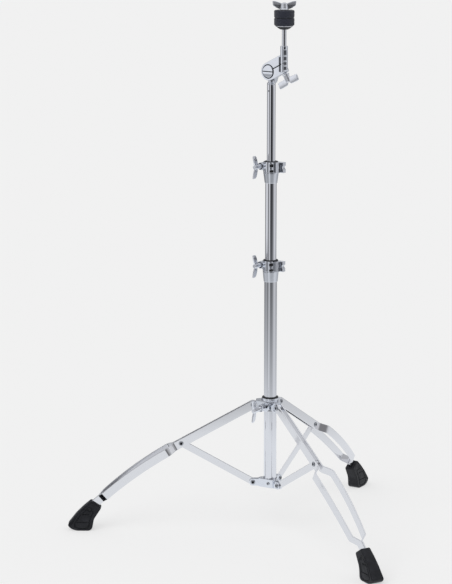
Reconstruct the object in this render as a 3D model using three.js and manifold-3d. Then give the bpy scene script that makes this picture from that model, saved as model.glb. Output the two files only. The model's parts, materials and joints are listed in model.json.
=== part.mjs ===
// Straight cymbal stand: folding tripod base, two telescoping stages with hinged tube clamps,
// a tilter, and a cymbal rod with felts and wing nut.
// Millimetres, +Z up. Seen from the front (-Y side), one leg points left.

import * as THREE from 'three';
import { mergeVertices } from 'three/addons/utils/BufferGeometryUtils.js';
import Module from 'manifold-3d';

const wasm = await Module();
wasm.setup();

// Gaps between pieces
const seatGap = 0.3; // between pieces that rest on each other
const pinPlay = 0.2; // around a pivot pin
const tubePlay = 0.2; // around a tube that slides in a bushing
const boltPlay = 0.8; // around a wing bolt in the ear and nut that it draws up
const overrun = 2; // how far a cutter runs past what it cuts
const smallChamfer = 1; // on the tips and shoulders of turned pieces
const weldTolerance = 1e-4; // within which points of a solid are one

// Tubes
const baseTubeRadius = 14.3;
const baseTubeWall = 1.2;
const baseTubeLength = 499;
const middleTubeRadius = 12.7;
const middleTubeWall = 1.2;
const middleTubeLength = 522;
const middleTubeShown = 223; // from the lower clamp's seat to the upper clamp's seat
const upperTubeRadius = 9.5;
const upperTubeWall = 1.2;
const upperTubeLength = 470;
const upperTubeShown = 195; // from the upper clamp's seat to the tube's top end

// Folding legs: hub above, collar below, legs and braces of equal reach
const legNames = ['left', 'front', 'back'];
const firstLegAngle = 180; // around the column, degrees
const legSpacing = 360 / legNames.length;
const halfSpacing = legSpacing / 2;
const legAngles = legNames.map((name, i) => firstLegAngle + legSpacing * i);
const setBoltAngle = firstLegAngle + halfSpacing; // the hub's boss, midway between two legs
const pivotRadius = 38.8; // hub and collar pivots, from the column's axis
const braceReach = 186.3; // between the two pivots of a brace, and of a leg's upper part
const spreadAngle = 29.06; // of leg and brace to the floor, degrees

// Leg straps
const strapHeight = 19;
const strapThickness = 3;
const strapPairOffset = 5; // of a strap's middle from the leg's middle plane, at the hub
const jogStart = 200; // distances along the leg, from the hub pivot
const jogLength = 24;
const jogBendShare = 0.35; // of the jog's length that each of its two bends takes
const jogOffset = 23;
const bowEnd = 397;
const bowEndOffset = 16.5;
const pinchLength = 24;
const pinchBendShare = 0.2;
const strapLength = 462;
const footSlope = 42; // of the leg where it enters the foot, degrees

// Braces
const braceWidth = 16;
const braceThickness = 3;
const braceWasherRadius = 7;

// Pivot pins
const pinRadius = 3;
const pinHeadRadius = 5.5;
const pinHeadThickness = 1.8;
const pinCrownShare = 0.7; // flat middle of a head

// Hub that slides on the base tube
const hubHeight = 24;
const hubBodyRadius = 33; // at the roots of its lugs
const hubRootAngle = 13; // of a lug's root, each way, degrees
const hubNeckRadius = 19.2;
const hubNeckHeight = 5;
const hubLugEnd = 8.5;
const hubBossRadius = 8;
const hubBossReach = 45.5;
const hubSlotWidth = 4.5;
const hubSlotHeight = 11;
const hubScallopRadius = 9;
const hubBushingWall = 2.4;
const hubBushingLip = 1.8;

// Collar fixed at the foot of the base tube
const collarHeight = 20;
const collarBodyRadius = 26;
const collarRootAngle = 11;
const earThickness = 3;
const earEnd = 8.5;
const screwRadius = 2.2;
const screwHeadRadius = 3.6;
const screwHeadThickness = 1.6;
const screwLength = 5;
const screwSide = 5; // of the screw from the middle of the collar's face

// Rubber feet
const footLength = 54.5;
const footHeight = 70;
const footWidth = 29;
const footEdge = 2.4; // rounding of the side edges
const footPocketDepth = 1.6;
const footRivetRadius = 2.6;
const footRivetHeadRadius = 4.6;
const footRivetBack = 14; // from the strap's end

// Tube clamps
const clampAngle = 235; // the way the wing bolt points, degrees around the column
const clampRingHeight = 23.5;
const clampConeHeight = 24;
const clampConeWall = 1.1;
const lowerRingRadius = 18;
const upperRingRadius = 17.4;
const clampBushingWall = 1.8;
const clampBushingLip = 1.5;
const clampSplit = 2.4;
const clampEarThickness = 8.3;
const clampEarEnd = 8.4;
const clampBoltSide = 23; // of the bolt from the tube's axis
const hingeSide = 20.2;
const hingeKnuckleRadius = 3.3;
const hingePinRadius = 1.6;
const clampBlockReach = 25.4;
const clampBlockDepth = 9;
const clampShoulderDepth = 13.4;
const clampShoulderReach = 16.5;
const clampPocketWidth = 7;
const clampPocketHeight = 7;
const clampPocketAngle = 40; // how far round the ring the pockets reach, degrees
const clampRibHeight = 4.6;
const clampLugReach = 32;
const clampLugDepth = 11;
const clampLugNotch = 4;
const nutFlats = 13;
const nutThickness = 6.5;

// Wing bolts and the wing nut
const boltRadius = 4;
const boltFlangeRadius = 7.6;
const boltFlangeThickness = 3;
const boltHubRadius = 6.6;
const boltHubTipRadius = 5;
const boltHubHeight = 22;
const wingSpan = 52;
const wingHeight = 19;
const wingThickness = 3.4;
const wingRise = 9; // from the flange's seat to the root of the wings
const wingRootShare = 0.9; // of the radius that the wings spring from
// One wing, as shares of half the span and of the height: the corner point and then the end
// of each curve, from the foot of the wing out round its tip and back
const wingCurveShares = [
  [0.5, 0.05, 0.8, 0.29], [0.95, 0.4, 0.97, 0.55], [1, 0.8, 1, 0.9], [1, 1, 0.9, 1],
  [0.5, 0.92, 0.18, 0.68],
];
const hubBoltStandoff = 9; // the set bolt isn't screwed all the way in

// Tilter
const tilterAngle = 322; // the way the arm points, degrees around the column
const tilterSlope = 26.5; // of the arm to the floor, degrees
const tilterRise = 29.3; // of the barrel's axis above the upper tube
const barrelRadius = 15.5;
const barrelReach = 11.5;
const barrelSlotWidth = 2.2;
const barrelSlotDepth = 1.4;
const cheekRadius = 16.5;
const cheekThickness = 11;
const neckRadius = 7.3;
const neckFlangeThickness = 3;
const neckPlugLength = 34;
const neckPinRadius = 1.6;
const neckPinDrop = 14;
const armRadius = 19.7;
const armReach = 46;
const armThickness = 12;
const armEndDrop = 12; // of the lower jaw's end below the split
const armSplit = 2;
const armBoltReach = 38;
const armBoltStandoff = 5; // this bolt isn't screwed all the way in either
const holderRadius = 8.2;
const holderSide = 39.6; // of the rod's axis from the barrel's axis
const holderBottom = 14;
const holderTop = 58;
const holderChamfer = 2;

// Cymbal rod and what sits on it
const rodRadius = 5;
const rodSocketDepth = 30;
const rodShown = 36; // between the holder and the cup's seat
const rodThreadRadius = 3.6;
const seatRadius = 9; // at its foot
const seatTopRadius = 14.5;
const seatHeight = 4.5;
const cupRadius = 20.3;
const cupFlatRadius = 15;
const cupThickness = 1.6;
const cupRim = 4.4; // height of the cup
const sleeveWall = 1.8;
const feltRadius = 22.6;
const feltThickness = 16.5;
const nutHubRadius = 7.5;
const nutHubTipRadius = 5.5;
const nutHubHeight = 15;
const nutFlangeRadius = 8.6;
const nutFlangeThickness = 2;
const nutWingRise = 1;
const nutTurn = 38; // of its wings from the arm's plane, so that they face the front, degrees
const rodTipProud = 1;

// Faces round the turned pieces
const tubeSides = 24;
const turnedSides = 12;
const smallSides = 10;

// Finishes
const chrome = { color: 0xc9ccd2, roughness: 0.16, metalness: 1 };
const castChrome = { color: 0xb9bcc1, roughness: 0.28, metalness: 1 };
const blackNylon = { color: 0x1c1d20, roughness: 0.5, metalness: 0 };
const blackRubber = { color: 0x232326, roughness: 0.7, metalness: 0 };
const felt = { color: 0x3c3c3e, roughness: 1, metalness: 0 };
const zinc = { color: 0x8d9095, roughness: 0.38, metalness: 1 };
const blackSteel = { color: 0x18191b, roughness: 0.45, metalness: 0.5 };

const degrees = Math.PI / 180;
const upward = new THREE.Vector3(0, 0, 1);

// Booleans

// What a boolean gives back already shares its vertices, so it is marked and left as it is.
function welded(geometry) {
  if (geometry.userData.shared) return geometry;
  const bare = geometry.clone();
  for (const name of Object.keys(bare.attributes)) {
    if (name !== 'position') bare.deleteAttribute(name);
  }
  return mergeVertices(bare, weldTolerance);
}

function facingOut(geometry) {
  const point = geometry.attributes.position;
  const index = geometry.index.array;
  const a = new THREE.Vector3();
  const b = new THREE.Vector3();
  const c = new THREE.Vector3();
  let volume = 0;
  for (let i = 0; i < index.length; i += 3) {
    a.fromBufferAttribute(point, index[i]);
    b.fromBufferAttribute(point, index[i + 1]);
    c.fromBufferAttribute(point, index[i + 2]);
    volume += a.dot(b.cross(c));
  }
  if (volume < 0) {
    for (let i = 0; i < index.length; i += 3) {
      [index[i + 1], index[i + 2]] = [index[i + 2], index[i + 1]];
    }
  }
  return geometry;
}

function solidOf(geometry) {
  const shell = facingOut(welded(geometry));
  return new wasm.Manifold(new wasm.Mesh({
    numProp: 3,
    vertProperties: new Float32Array(shell.attributes.position.array),
    triVerts: new Uint32Array(shell.index.array),
  }));
}

function geometryOf(solid) {
  const mesh = solid.getMesh();
  const geometry = new THREE.BufferGeometry();
  geometry.setAttribute('position', new THREE.BufferAttribute(mesh.vertProperties, 3));
  geometry.setIndex(new THREE.BufferAttribute(mesh.triVerts, 1));
  geometry.userData.shared = true;
  return geometry;
}

function joined(...geometries) {
  let whole = solidOf(geometries[0]);
  for (const geometry of geometries.slice(1)) whole = whole.add(solidOf(geometry));
  return geometryOf(whole);
}

function cut(geometry, ...tools) {
  let whole = solidOf(geometry);
  for (const tool of tools) whole = whole.subtract(solidOf(tool));
  return geometryOf(whole);
}

function kept(geometry, window) {
  return geometryOf(solidOf(geometry).intersect(solidOf(window)));
}

// Basic forms. A turned form stands along +Z; a profile is a list of [radius, height].

function turned(profile, sides = turnedSides) {
  const points = profile.map(([radius, height]) => new THREE.Vector2(radius, height));
  const geometry = new THREE.LatheGeometry([...points, points[0]], sides);
  return facingOut(welded(geometry.rotateX(Math.PI / 2)));
}

function rod(radius, bottom, top, sides = turnedSides) {
  return turned([[0, bottom], [radius, bottom], [radius, top], [0, top]], sides);
}

function ring(inner, outer, bottom, top, sides = turnedSides) {
  return turned([[inner, bottom], [outer, bottom], [outer, top], [inner, top]], sides);
}

function block(low, high) {
  const size = high.map((value, axis) => value - low[axis]);
  const middle = high.map((value, axis) => (value + low[axis]) / 2);
  return new THREE.BoxGeometry(...size).translate(...middle);
}

function prism(shape, depth, curveSegments = 4) {
  return new THREE.ExtrudeGeometry(shape, { depth, bevelEnabled: false, curveSegments });
}

// A shape drawn on X and Z, made solid across Y between two sides.
function plateXZ(shape, from, to, curveSteps = 4) {
  return prism(shape, to - from, curveSteps).rotateX(Math.PI / 2).translate(0, to, 0);
}

// A shape drawn on Y and Z, made solid across X between two faces.
function plateYZ(shape, from, to, curveSteps = 4) {
  const upright = prism(shape, to - from, curveSteps).rotateX(Math.PI / 2);
  return upright.rotateZ(Math.PI / 2).translate(from, 0, 0);
}

function turnedAbout(geometry, axis, angle) {
  return geometry.clone().applyMatrix4(new THREE.Matrix4().makeRotationAxis(axis, angle * degrees));
}

// A tongue from the origin to a pivot, with a round end about the pivot.
function tongue(root, pivot, end) {
  const shape = new THREE.Shape();
  shape.moveTo(root, -end);
  shape.lineTo(pivot, -end);
  shape.absarc(pivot, 0, end, -Math.PI / 2, Math.PI / 2, false);
  shape.lineTo(root, end);
  shape.closePath();
  return shape;
}

// A rod that lies across Y, centred at a place on X and Z.
function crossRod(radius, halfLength, x, z, sides = smallSides) {
  return rod(radius, -halfLength, halfLength, sides).rotateX(Math.PI / 2).translate(x, 0, z);
}

// The stand

const stand = new THREE.Group();

function put(parent, name, finish, geometry) {
  const mesh = new THREE.Mesh(geometry, new THREE.MeshStandardMaterial(finish));
  mesh.name = name;
  parent.add(mesh);
  return mesh;
}

function turnedGroup(angle, height, parent = stand) {
  const group = new THREE.Group();
  group.rotation.z = angle * degrees;
  group.position.z = height;
  parent.add(group);
  return group;
}

// Side view of a leg. The straight upper part runs down from the hub pivot to the jog,
// then the leg curves to the slope that it has at the foot.

const hubPivotHeight = 2 * braceReach * Math.sin(spreadAngle * degrees);
const bendRadius = (bowEnd - jogStart) / ((footSlope - spreadAngle) * degrees);

function legPoint(along) {
  const start = spreadAngle * degrees;
  const straight = Math.min(along, jogStart);
  let out = pivotRadius + straight * Math.cos(start);
  let height = hubPivotHeight - straight * Math.sin(start);
  const curved = Math.min(Math.max(along - jogStart, 0), bowEnd - jogStart);
  const slope = start + curved / bendRadius;
  out += bendRadius * (Math.sin(slope) - Math.sin(start));
  height += bendRadius * (Math.cos(slope) - Math.cos(start));
  const last = Math.max(along - bowEnd, 0);
  out += last * Math.cos(slope);
  height -= last * Math.sin(slope);
  return { out, height, slope };
}

// How far a bar has gone sideways, from 0 to 1, in two bends with a straight run between.
function bent(share, bendShare) {
  const inside = Math.min(Math.max(share, 0), 1);
  const steepest = 1 / (1 - bendShare);
  const toEnd = Math.min(inside, 1 - inside);
  const gone = toEnd < bendShare
    ? steepest * toEnd * toEnd / (2 * bendShare)
    : steepest * (toEnd - bendShare / 2);
  return inside < 1 / 2 ? gone : 1 - gone;
}

const pinchOffset = (strapThickness + seatGap) / 2;
const jogEnd = jogStart + jogLength;
const pinchEnd = bowEnd + pinchLength;

function strapOffset(along) {
  const jogged = bent((along - jogStart) / jogLength, jogBendShare);
  const bow = Math.min(Math.max((along - jogEnd) / (bowEnd - jogEnd), 0), 1);
  const pinched = bent((along - bowEnd) / pinchLength, pinchBendShare);
  return strapPairOffset + (jogOffset - strapPairOffset) * jogged
    + (bowEndOffset - jogOffset) * bow * bow + (pinchOffset - bowEndOffset) * pinched;
}

function evenly(from, to, steps) {
  return Array.from({ length: steps }, (empty, i) => from + (to - from) * (i + 1) / steps);
}

// Distances along the leg where a strap has a section: its round end, its straight upper
// part, the jog, the bow and the pinch before the foot
const roundSteps = 5;
const roundEnd = evenly(0, Math.PI / 2, roundSteps).map((turn) => -strapHeight / 2 * Math.cos(turn));
const strapStations = [
  ...roundEnd,
  jogStart,
  ...evenly(jogStart, jogStart + jogLength * jogBendShare, 2),
  ...evenly(jogEnd - jogLength * jogBendShare, jogEnd, 2),
  ...evenly(jogEnd, bowEnd, 4),
  ...evenly(bowEnd, bowEnd + pinchLength * pinchBendShare, 2),
  pinchEnd - pinchLength * pinchBendShare,
  pinchEnd,
  strapLength,
];

// One strap: a flat bar on edge that follows the leg's side view and its own offset.
function legStrap(side) {
  const step = strapHeight / 100;
  const corners = [];
  for (const along of strapStations) {
    const { out, height, slope } = legPoint(along);
    const forward = new THREE.Vector3(Math.cos(slope), 0, -Math.sin(slope));
    const rise = new THREE.Vector3(Math.sin(slope), 0, Math.cos(slope));
    const drift = (strapOffset(along + step) - strapOffset(along - step)) / (2 * step);
    const across = new THREE.Vector3(0, 1, 0).addScaledVector(forward, -drift * side).normalize();
    const middle = new THREE.Vector3(out, side * strapOffset(along), height);
    const ended = Math.min(along, 0);
    const half = Math.sqrt(strapHeight * strapHeight / 4 - ended * ended);
    for (const [sideways, up] of [[-1, -1], [1, -1], [1, 1], [-1, 1]]) {
      corners.push(middle.clone()
        .addScaledVector(across, sideways * strapThickness / 2)
        .addScaledVector(rise, up * half));
    }
  }
  const faces = [0, 2, 1, 0, 3, 2];
  const last = corners.length - 4;
  faces.push(last, last + 1, last + 2, last, last + 2, last + 3);
  for (let start = 0; start < last; start += 4) {
    for (let k = 0; k < 4; k += 1) {
      const a = start + k;
      const b = start + (k + 1) % 4;
      faces.push(a, b, b + 4, a, b + 4, a + 4);
    }
  }
  const bar = new THREE.BufferGeometry().setFromPoints(corners);
  bar.setIndex(faces);
  const holes = [0, braceReach, strapLength - footRivetBack].map((along) => {
    const { out, height } = legPoint(along);
    const radius = along > braceReach ? footRivetRadius : pinRadius;
    return crossRod(radius + pinPlay, jogOffset, out, height);
  });
  return cut(bar, ...holes);
}

function brace() {
  const shape = new THREE.Shape();
  shape.absarc(0, 0, braceWidth / 2, Math.PI / 2, 3 * Math.PI / 2, false);
  shape.absarc(braceReach, 0, braceWidth / 2, -Math.PI / 2, Math.PI / 2, false);
  shape.closePath();
  const strap = plateXZ(shape, -braceThickness / 2, braceThickness / 2);
  const washerHalf = strapPairOffset - strapThickness / 2 - seatGap;
  const washers = crossRod(braceWasherRadius, washerHalf, braceReach, 0, turnedSides);
  const bar = cut(
    joined(strap, washers),
    crossRod(pinRadius + pinPlay, strapPairOffset, 0, 0),
    crossRod(pinRadius + pinPlay, strapPairOffset, braceReach, 0),
  );
  return bar.applyMatrix4(new THREE.Matrix4().makeRotationY(-spreadAngle * degrees));
}

// A riveted pin across Y with a low round head at each end.
function pin(radius, headRadius, headThickness, halfGrip) {
  const outside = halfGrip + headThickness;
  const crown = headRadius * pinCrownShare;
  return turned([
    [0, -outside], [crown, -outside], [headRadius, -halfGrip], [radius, -halfGrip],
    [radius, halfGrip], [headRadius, halfGrip], [crown, outside], [0, outside],
  ], smallSides).rotateX(Math.PI / 2);
}

// Rubber foot in the leg's plane. Its outline, as shares of its length and height
// from the heel: the toe points outward, the leg comes in at the top behind.
const footOutlineShares = [
  [0.1, 0], [0.62, 0], [0.83, 0.05], [0.96, 0.125], [1, 0.2], [0.66, 0.54], [0.35, 0.785],
  [0.02, 1], [-0.42, 0.77], [-0.11, 0.4], [-0.055, 0.24], [-0.025, 0.07],
];
const footPanelShares = [
  [0.12, 0.14], [0.62, 0.14], [0.5, 0.42], [0.16, 0.7], [-0.12, 0.62], [0.05, 0.36],
];
const footEntryShares = [0.275, 0.586]; // the strap's end, from the heel

const strapTip = legPoint(strapLength);
const heelOut = strapTip.out - footEntryShares[0] * footLength;
const soleHeight = strapTip.height - footEntryShares[1] * footHeight;

function footShape(shares, edge) {
  const corners = shares.map(([x, z]) => (
    new THREE.Vector2(heelOut + x * footLength, soleHeight + z * footHeight)
  ));
  const middle = new THREE.Vector2();
  for (const corner of corners) middle.addScaledVector(corner, 1 / corners.length);
  for (const corner of corners) corner.add(middle.clone().sub(corner).setLength(edge));
  return new THREE.Shape(corners);
}

function foot() {
  const half = footWidth / 2;
  const core = plateXZ(footShape(footOutlineShares, 0), -half + footEdge, half - footEdge);
  const cheeks = plateXZ(footShape(footOutlineShares, footEdge), -half, half);
  const sole = block(
    [heelOut - footLength, -half, soleHeight - overrun],
    [heelOut + 2 * footLength, half, soleHeight],
  );
  const body = cut(joined(core, cheeks), sole);
  const panel = footShape(footPanelShares, 0);
  const left = plateXZ(panel, half - footPocketDepth, half + overrun);
  const rightPanel = plateXZ(panel, -half - overrun, -half + footPocketDepth);
  const slotHalf = strapThickness + seatGap / 2 + seatGap;
  const slotLength = strapLength - bowEnd;
  const slot = block(
    [-slotLength, -slotHalf, -strapHeight / 2 - seatGap],
    [seatGap, slotHalf, strapHeight / 2 + seatGap],
  ).rotateY(footSlope * degrees).translate(strapTip.out, 0, strapTip.height);
  const rivet = legPoint(strapLength - footRivetBack);
  const hole = crossRod(footRivetRadius + pinPlay, half + overrun, rivet.out, rivet.height);
  const sinkDepth = overrun + pinHeadThickness + seatGap;
  const sink = crossRod(footRivetHeadRadius + seatGap, sinkDepth / 2, rivet.out, rivet.height);
  const sinkMiddle = half + overrun - sinkDepth / 2;
  const sinks = [-sinkMiddle, sinkMiddle].map((y) => sink.clone().translate(0, y, 0));
  return cut(body, left, rightPanel, slot, hole, ...sinks);
}

const hubPinGrip = strapPairOffset + strapThickness / 2 + seatGap;
const earInside = braceThickness / 2 + seatGap;
const earOutside = earInside + earThickness;
const midPivot = legPoint(braceReach);
const footRivet = legPoint(strapLength - footRivetBack);

legAngles.forEach((angle, i) => {
  const leg = turnedGroup(angle, 0);
  const name = legNames[i];
  put(leg, `${name}_leg_strap_a`, chrome, legStrap(1));
  put(leg, `${name}_leg_strap_b`, chrome, legStrap(-1));
  put(leg, `${name}_brace`, chrome, brace().translate(pivotRadius, 0, 0));
  put(leg, `${name}_foot`, blackRubber, foot());
  const pivotPin = pin(pinRadius, pinHeadRadius, pinHeadThickness, hubPinGrip);
  put(leg, `${name}_hub_pin`, zinc, pivotPin.clone().translate(pivotRadius, 0, hubPivotHeight));
  put(leg, `${name}_middle_pin`, zinc, pivotPin.clone().translate(midPivot.out, 0, midPivot.height));
  const collarPin = pin(pinRadius, pinHeadRadius, pinHeadThickness, earOutside + seatGap);
  put(leg, `${name}_collar_pin`, zinc, collarPin.translate(pivotRadius, 0, 0));
  const rivetGrip = footWidth / 2 - pinHeadThickness;
  const rivet = pin(footRivetRadius, footRivetHeadRadius, pinHeadThickness, rivetGrip);
  put(leg, `${name}_foot_rivet`, blackSteel, rivet.translate(footRivet.out, 0, footRivet.height));
});

// A body with a flat face between each two legs, drawn from above.
function facetedBody(radius, rootAngle, bottom, top) {
  const turns = legAngles.flatMap((angle) => [angle - rootAngle, angle + rootAngle]);
  const axis = new THREE.Vector2();
  const corners = turns.map((turn) => new THREE.Vector2(radius, 0).rotateAround(axis, turn * degrees));
  return prism(new THREE.Shape(corners), top - bottom).translate(0, 0, bottom);
}

const collarFace = collarBodyRadius * Math.cos((halfSpacing - collarRootAngle) * degrees);

// Fixed collar: a fork for each brace, and flat faces between the forks.
function collar() {
  const half = collarHeight / 2;
  const parts = [facetedBody(collarBodyRadius, collarRootAngle, -half, half)];
  const cuts = [rod(baseTubeRadius + seatGap, -half - overrun, half + overrun, tubeSides)];
  const ear = plateXZ(tongue(baseTubeRadius, pivotRadius, earEnd), earInside, earOutside);
  const otherEar = plateXZ(tongue(baseTubeRadius, pivotRadius, earEnd), -earOutside, -earInside);
  const hole = crossRod(pinRadius + pinPlay, earOutside + overrun, pivotRadius, 0);
  const screwHole = rod(screwRadius + pinPlay, baseTubeRadius, collarFace + overrun, smallSides)
    .rotateY(Math.PI / 2).translate(0, screwSide, 0);
  for (const angle of legAngles) {
    parts.push(turnedAbout(ear, upward, angle), turnedAbout(otherEar, upward, angle));
    cuts.push(turnedAbout(hole, upward, angle), turnedAbout(screwHole, upward, angle + halfSpacing));
  }
  return cut(joined(...parts), ...cuts);
}

function collarScrew() {
  const face = collarFace + seatGap;
  const inner = baseTubeRadius + seatGap;
  const head = face + screwHeadThickness;
  return turned([
    [0, inner], [screwRadius, inner], [screwRadius, face], [screwHeadRadius, face],
    [screwHeadRadius - screwHeadThickness / 2, head], [0, head],
  ], smallSides).rotateY(Math.PI / 2).translate(0, screwSide, 0);
}

put(stand, 'lower_collar', castChrome, collar());
legNames.forEach((name, i) => {
  const face = turnedGroup(legAngles[i] + halfSpacing, 0);
  put(face, `collar_screw_${name}`, zinc, collarScrew());
});

// Base tube, from the collar's lower edge up
const baseBottom = -collarHeight / 2;
const baseTop = baseBottom + baseTubeLength;
const baseInner = baseTubeRadius - baseTubeWall;
put(stand, 'base_tube', chrome, ring(baseInner, baseTubeRadius, baseBottom, baseTop, tubeSides));

// Sliding hub: lugs between the leg straps, a boss for the set bolt, a bushing round the tube
const bushingInner = baseTubeRadius + tubePlay;
const hubBore = bushingInner + hubBushingWall + seatGap;
const hubHalf = hubHeight / 2;
const hubTop = hubHalf + hubNeckHeight;

function hub() {
  const lugHalf = strapPairOffset - strapThickness / 2 - seatGap;
  const parts = [
    facetedBody(hubBodyRadius, hubRootAngle, -hubHalf, hubHalf),
    rod(hubNeckRadius, -hubHalf, hubTop, tubeSides),
  ];
  const cuts = [rod(hubBore, -hubHalf - overrun, hubTop + overrun, tubeSides)];
  const lug = plateXZ(tongue(hubBore, pivotRadius, hubLugEnd), -lugHalf, lugHalf);
  const pinHole = crossRod(pinRadius + pinPlay, lugHalf + overrun, pivotRadius, 0);
  const strapEnd = strapHeight / 2 + seatGap;
  const strapWay = new THREE.Shape();
  strapWay.absarc(pivotRadius, 0, strapEnd, 0, Math.PI, false);
  strapWay.lineTo(pivotRadius - strapEnd, -hubHeight);
  strapWay.lineTo(pivotRadius + strapEnd, -hubHeight);
  strapWay.closePath();
  const strapOutside = hubPinGrip + pinHeadThickness + seatGap;
  const strapWays = [
    plateXZ(strapWay, lugHalf, strapOutside, 5),
    plateXZ(strapWay, -strapOutside, -lugHalf, 5),
  ];
  const scallop = rod(hubScallopRadius, hubBore - overrun, hubBodyRadius + overrun, smallSides)
    .rotateY(Math.PI / 2).translate(0, 0, -hubHalf - hubScallopRadius / 2);
  const face = hubBodyRadius * Math.cos((halfSpacing - hubRootAngle) * degrees);
  const slot = block(
    [face - hubBushingWall, -hubSlotWidth / 2, -hubSlotHeight / 2],
    [hubBodyRadius, hubSlotWidth / 2, hubSlotHeight / 2],
  ).translate(0, hubBossRadius + hubSlotWidth, 0);
  for (const angle of legAngles) {
    parts.push(turnedAbout(lug, upward, angle));
    cuts.push(turnedAbout(pinHole, upward, angle));
    cuts.push(...strapWays.map((way) => turnedAbout(way, upward, angle)));
    cuts.push(turnedAbout(scallop, upward, angle + halfSpacing / 2));
    cuts.push(turnedAbout(scallop, upward, angle - halfSpacing / 2));
    cuts.push(turnedAbout(slot, upward, angle + halfSpacing));
  }
  const boss = rod(hubBossRadius, hubBore, hubBossReach, turnedSides).rotateY(Math.PI / 2);
  const bossBore = rod(boltRadius + seatGap, 0, hubBossReach + overrun, smallSides).rotateY(Math.PI / 2);
  parts.push(turnedAbout(boss, upward, setBoltAngle));
  cuts.push(turnedAbout(bossBore, upward, setBoltAngle));
  return cut(joined(...parts), ...cuts);
}

function hubBushing() {
  const outer = bushingInner + hubBushingWall;
  const lip = hubTop + seatGap;
  const tube = turned([
    [bushingInner, -hubHalf], [outer, -hubHalf], [outer, lip], [hubNeckRadius - hubBushingLip / 2, lip],
    [hubNeckRadius - hubBushingLip / 2, lip + hubBushingLip], [bushingInner, lip + hubBushingLip],
  ], tubeSides);
  const hole = rod(boltRadius + seatGap, bushingInner - overrun, outer + overrun, smallSides);
  return cut(tube, turnedAbout(hole.rotateY(Math.PI / 2), upward, setBoltAngle));
}

const hubGroup = turnedGroup(0, hubPivotHeight);
put(hubGroup, 'leg_hub', castChrome, hub());
put(hubGroup, 'hub_bushing', blackNylon, hubBushing());

// The two wings of a bolt or nut, drawn on X and Z with their root at z = 0.
function wings(rootRadius) {
  const shape = new THREE.Shape();
  shape.moveTo(0, 0);
  shape.lineTo(rootRadius * wingRootShare, 0);
  for (const [cornerX, cornerZ, endX, endZ] of wingCurveShares) {
    shape.quadraticCurveTo(
      cornerX * wingSpan / 2, cornerZ * wingHeight,
      endX * wingSpan / 2, endZ * wingHeight,
    );
  }
  shape.lineTo(0, wingHeight / 2);
  shape.closePath();
  const wing = plateXZ(shape, -wingThickness / 2, wingThickness / 2, 2);
  return joined(wing, wing.clone().rotateZ(Math.PI));
}

// A wing bolt along +Z: its shank below z = 0, its flange and hub above.
function wingBolt(shank) {
  const body = turned([
    [0, -shank], [boltRadius - smallChamfer, -shank], [boltRadius, smallChamfer - shank],
    [boltRadius, 0], [boltFlangeRadius, 0], [boltFlangeRadius, boltFlangeThickness],
    [boltHubRadius, boltFlangeThickness + smallChamfer],
    [boltHubTipRadius, boltHubHeight], [0, boltHubHeight],
  ]);
  return joined(body, wings(boltHubTipRadius).translate(0, 0, wingRise));
}

// The set bolt turns +Z outward, with its wings upright.
const setBolt = turnedGroup(setBoltAngle, hubPivotHeight);
const setBoltSeat = hubBossReach + hubBoltStandoff;
put(setBolt, 'hub_wing_bolt', castChrome,
  wingBolt(setBoltSeat - baseTubeRadius - seatGap).rotateY(Math.PI / 2).translate(setBoltSeat, 0, 0));

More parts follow.
